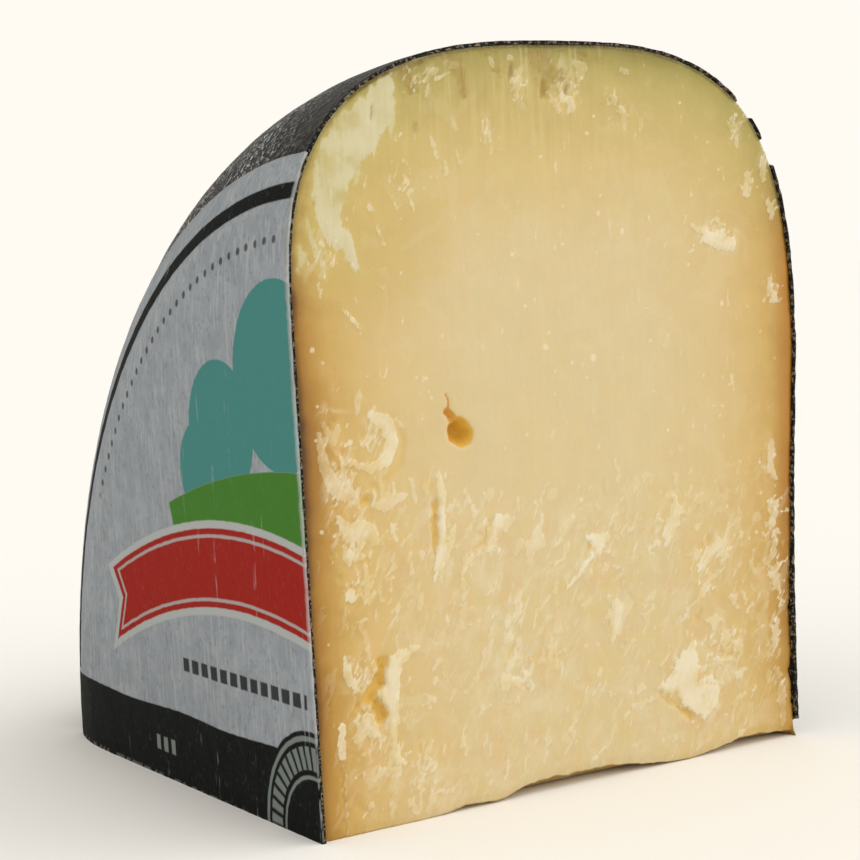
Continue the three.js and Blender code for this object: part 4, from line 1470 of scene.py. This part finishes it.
def rubbed_print(shader, sheet, colour):
    """Rubbed ink, pale upright scratches, and fibres bared along the cut edges."""
    rubbed = sheet.fibre.rise(0.56, 0.74) * 0.35 + sheet.fleck.rise(0.6, 0.75) * 0.2
    colour = shader.mix(rubbed * 0.3, colour, display(150, 154, 158))
    scratches = shader.grain(1.6, 2, shader.stretched(1, 1, 0.08)).rise(0.66, 0.74)
    scratches = scratches * sheet.cloud.rise(0.45, 0.6)
    colour = shader.mix(scratches * 0.26, colour, display(190, 193, 194))
    frayed = (sheet.y + (sheet.fleck - 0.5) * 0.9).rise(0.75, 0.1) * sheet.z.rise(8, 26)
    colour = shader.mix(frayed * 0.45, colour, display(190, 192, 190))
    return shader.mix(shader.mark("edge") * 0.7, colour, display(150, 150, 146))


def label_material(look):
    """Mottled paper under a plain, rubbed print."""
    shader = Shader("label_paper")
    sheet = LabelGround(shader)
    colour = bare_paper(shader, sheet, look)
    colour = printed_hill(shader, sheet, colour, look)
    colour = printed_banner(shader, sheet, colour, look)
    colour = printed_lines(shader, sheet, colour, look)
    colour = printed_band(shader, sheet, colour, look)
    colour = rubbed_print(shader, sheet, colour)
    relief = sheet.fibre * 0.6 + sheet.cloud * 0.8
    gloss = 0.7 + 0.3 * (sheet.fibre - 0.5)
    return shader.finish(relief, 0.6, 0.25, Base_Color=colour, Roughness=gloss, Specular_IOR_Level=0.06)


# ---------------------------------------------------------------- operators


def settle(piece, node, material):
    """Gives a modelled piece its material and sets it in the place of its frame node."""
    piece.data.materials.append(material)
    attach(piece, "root")
    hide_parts(node)


class CHEESE_OT_paste(bpy.types.Operator):
    """Model the cut cheese: sliced and broken face, eye, flakes and base."""

    bl_idname = "cheese.paste"
    bl_label = "Cut cheese"

    def execute(self, context):
        look = context.scene.cheese_paste
        settle(build_cheese(look), "cheese_quarter", paste_material(look))
        return {"FINISHED"}


class CHEESE_OT_coat(bpy.types.Operator):
    """Model the black coat on the rim and both round faces."""

    bl_idname = "cheese.coat"
    bl_label = "Black coat"

    def execute(self, context):
        look = context.scene.black_coat
        settle(build_coat(), "black_coat", coat_material(look))
        return {"FINISHED"}


class CHEESE_OT_label(bpy.types.Operator):
    """Model the paper label with its plain print."""

    bl_idname = "cheese.label"
    bl_label = "Paper label"

    def execute(self, context):
        look = context.scene.paper_label
        settle(build_label(), "paper_label", label_material(look))
        return {"FINISHED"}


class CHEESE_OT_studio(bpy.types.Operator):
    """Set up the pale floor, the soft lights and the camera."""

    bl_idname = "cheese.studio"
    bl_label = "Studio"

    def execute(self, context):
        look = context.scene.cheese_studio
        set_surround(context.scene, look)
        set_lights(look)
        set_camera(context.scene, look)
        return {"FINISHED"}


def set_surround(scene, look):
    """Pale floor under pale air."""
    world = bpy.data.worlds.new("pale_air")
    world.use_nodes = True
    nodes, links = world.node_tree.nodes, world.node_tree.links
    seen, lighting = nodes["Background"], nodes.new("ShaderNodeBackground")
    chooser, ray = nodes.new("ShaderNodeMixShader"), nodes.new("ShaderNodeLightPath")
    for background, strength in ((seen, 1.0), (lighting, look.air_light)):
        background.inputs["Color"].default_value = (*look.surround_colour, 1)
        background.inputs["Strength"].default_value = strength
    links.new(ray.outputs["Is Camera Ray"], chooser.inputs["Fac"])
    links.new(lighting.outputs["Background"], chooser.inputs[1])
    links.new(seen.outputs["Background"], chooser.inputs[2])
    links.new(chooser.outputs["Shader"], nodes["World Output"].inputs["Surface"])
    scene.world = world
    scene.view_settings.view_transform = "Standard"
    mesh = bpy.data.meshes.new("floor")
    corners = [(-FLOOR_HALF, -FLOOR_HALF, 0), (FLOOR_HALF, -FLOOR_HALF, 0), (FLOOR_HALF, FLOOR_HALF, 0),
               (-FLOOR_HALF, FLOOR_HALF, 0)]
    mesh.from_pydata(corners, [], [(0, 1, 2, 3)])
    floor = bpy.data.objects.new("floor", mesh)
    scene.collection.objects.link(floor)
    shader = Shader("floor_paper")
    unevenness = shader.grain(40, 2)
    mesh.materials.append(shader.finish(
        unevenness, 0.02, 0.2, Base_Color=FLOOR_COLOUR, Roughness=0.9, Specular_IOR_Level=0.1,
    ))


def set_lights(look):
    """One even, soft light from above, in front and on the right, like a wide lamp far away."""
    lamp = bpy.data.lights.new("key", "SUN")
    lamp.energy, lamp.angle = look.key_strength, look.key_softness
    holder = bpy.data.objects.new("key", lamp)
    holder.rotation_euler = Vector(KEY_FROM).to_track_quat("Z", "Y").to_euler()
    bpy.context.scene.collection.objects.link(holder)


def set_camera(scene, look):
    """Looks down a little at the cut face and the label from the left, close by."""
    camera = bpy.data.cameras.new("camera")
    camera.lens, camera.sensor_width = look.lens, SENSOR_WIDTH
    camera.clip_start = 0.01
    holder = bpy.data.objects.new("camera", camera)
    place = Vector(CAMERA_PLACE)
    ahead = (Vector(CAMERA_AIM) - place).normalized()
    right = ahead.cross(Vector((0, 0, 1))).normalized()
    above = right.cross(ahead)
    cosine, sine = math.cos(CAMERA_ROLL), math.sin(CAMERA_ROLL)
    right, above = right * cosine + above * sine, above * cosine - right * sine
    axes = Matrix((right, above, -ahead)).transposed()
    holder.matrix_world = Matrix.Translation(place) @ axes.to_4x4()
    scene.collection.objects.link(holder)
    scene.camera = holder


class CHEESE_PT_bench(bpy.types.Panel):
    """The pieces of the quarter and what can be changed on them."""

    bl_label = "Cheese wheel quarter"
    bl_idname = "CHEESE_PT_bench"
    bl_space_type = "VIEW_3D"
    bl_region_type = "UI"
    bl_category = "Cheese"

    def draw(self, context):
        for group, (_, operator) in PIECES.items():
            box = self.layout.box()
            settings = getattr(context.scene, group)
            for name in settings.bl_rna.properties.keys():
                if name not in {"name", "rna_type"}:
                    box.prop(settings, name)
            box.operator(operator.bl_idname)


PIECES = {  # each scene property, its settings and the operator that reads them, in the order they are made
    "cheese_studio": (StudioSettings, CHEESE_OT_studio),
    "cheese_paste": (CheesePasteSettings, CHEESE_OT_paste),
    "black_coat": (BlackCoatSettings, CHEESE_OT_coat),
    "paper_label": (PaperLabelSettings, CHEESE_OT_label),
}


def register():
    for group, (settings, operator) in PIECES.items():
        bpy.utils.register_class(settings)
        bpy.utils.register_class(operator)
        setattr(bpy.types.Scene, group, bpy.props.PointerProperty(type=settings))
    bpy.utils.register_class(CHEESE_PT_bench)


def unregister():
    bpy.utils.unregister_class(CHEESE_PT_bench)
    for group, (settings, operator) in reversed(PIECES.items()):
        delattr(bpy.types.Scene, group)
        bpy.utils.unregister_class(operator)
        bpy.utils.unregister_class(settings)


def main():
    register()
    bpy.ops.cheese.studio()
    bpy.ops.cheese.paste()
    bpy.ops.cheese.coat()
    bpy.ops.cheese.label()


if __name__ == "__main__":
    main()
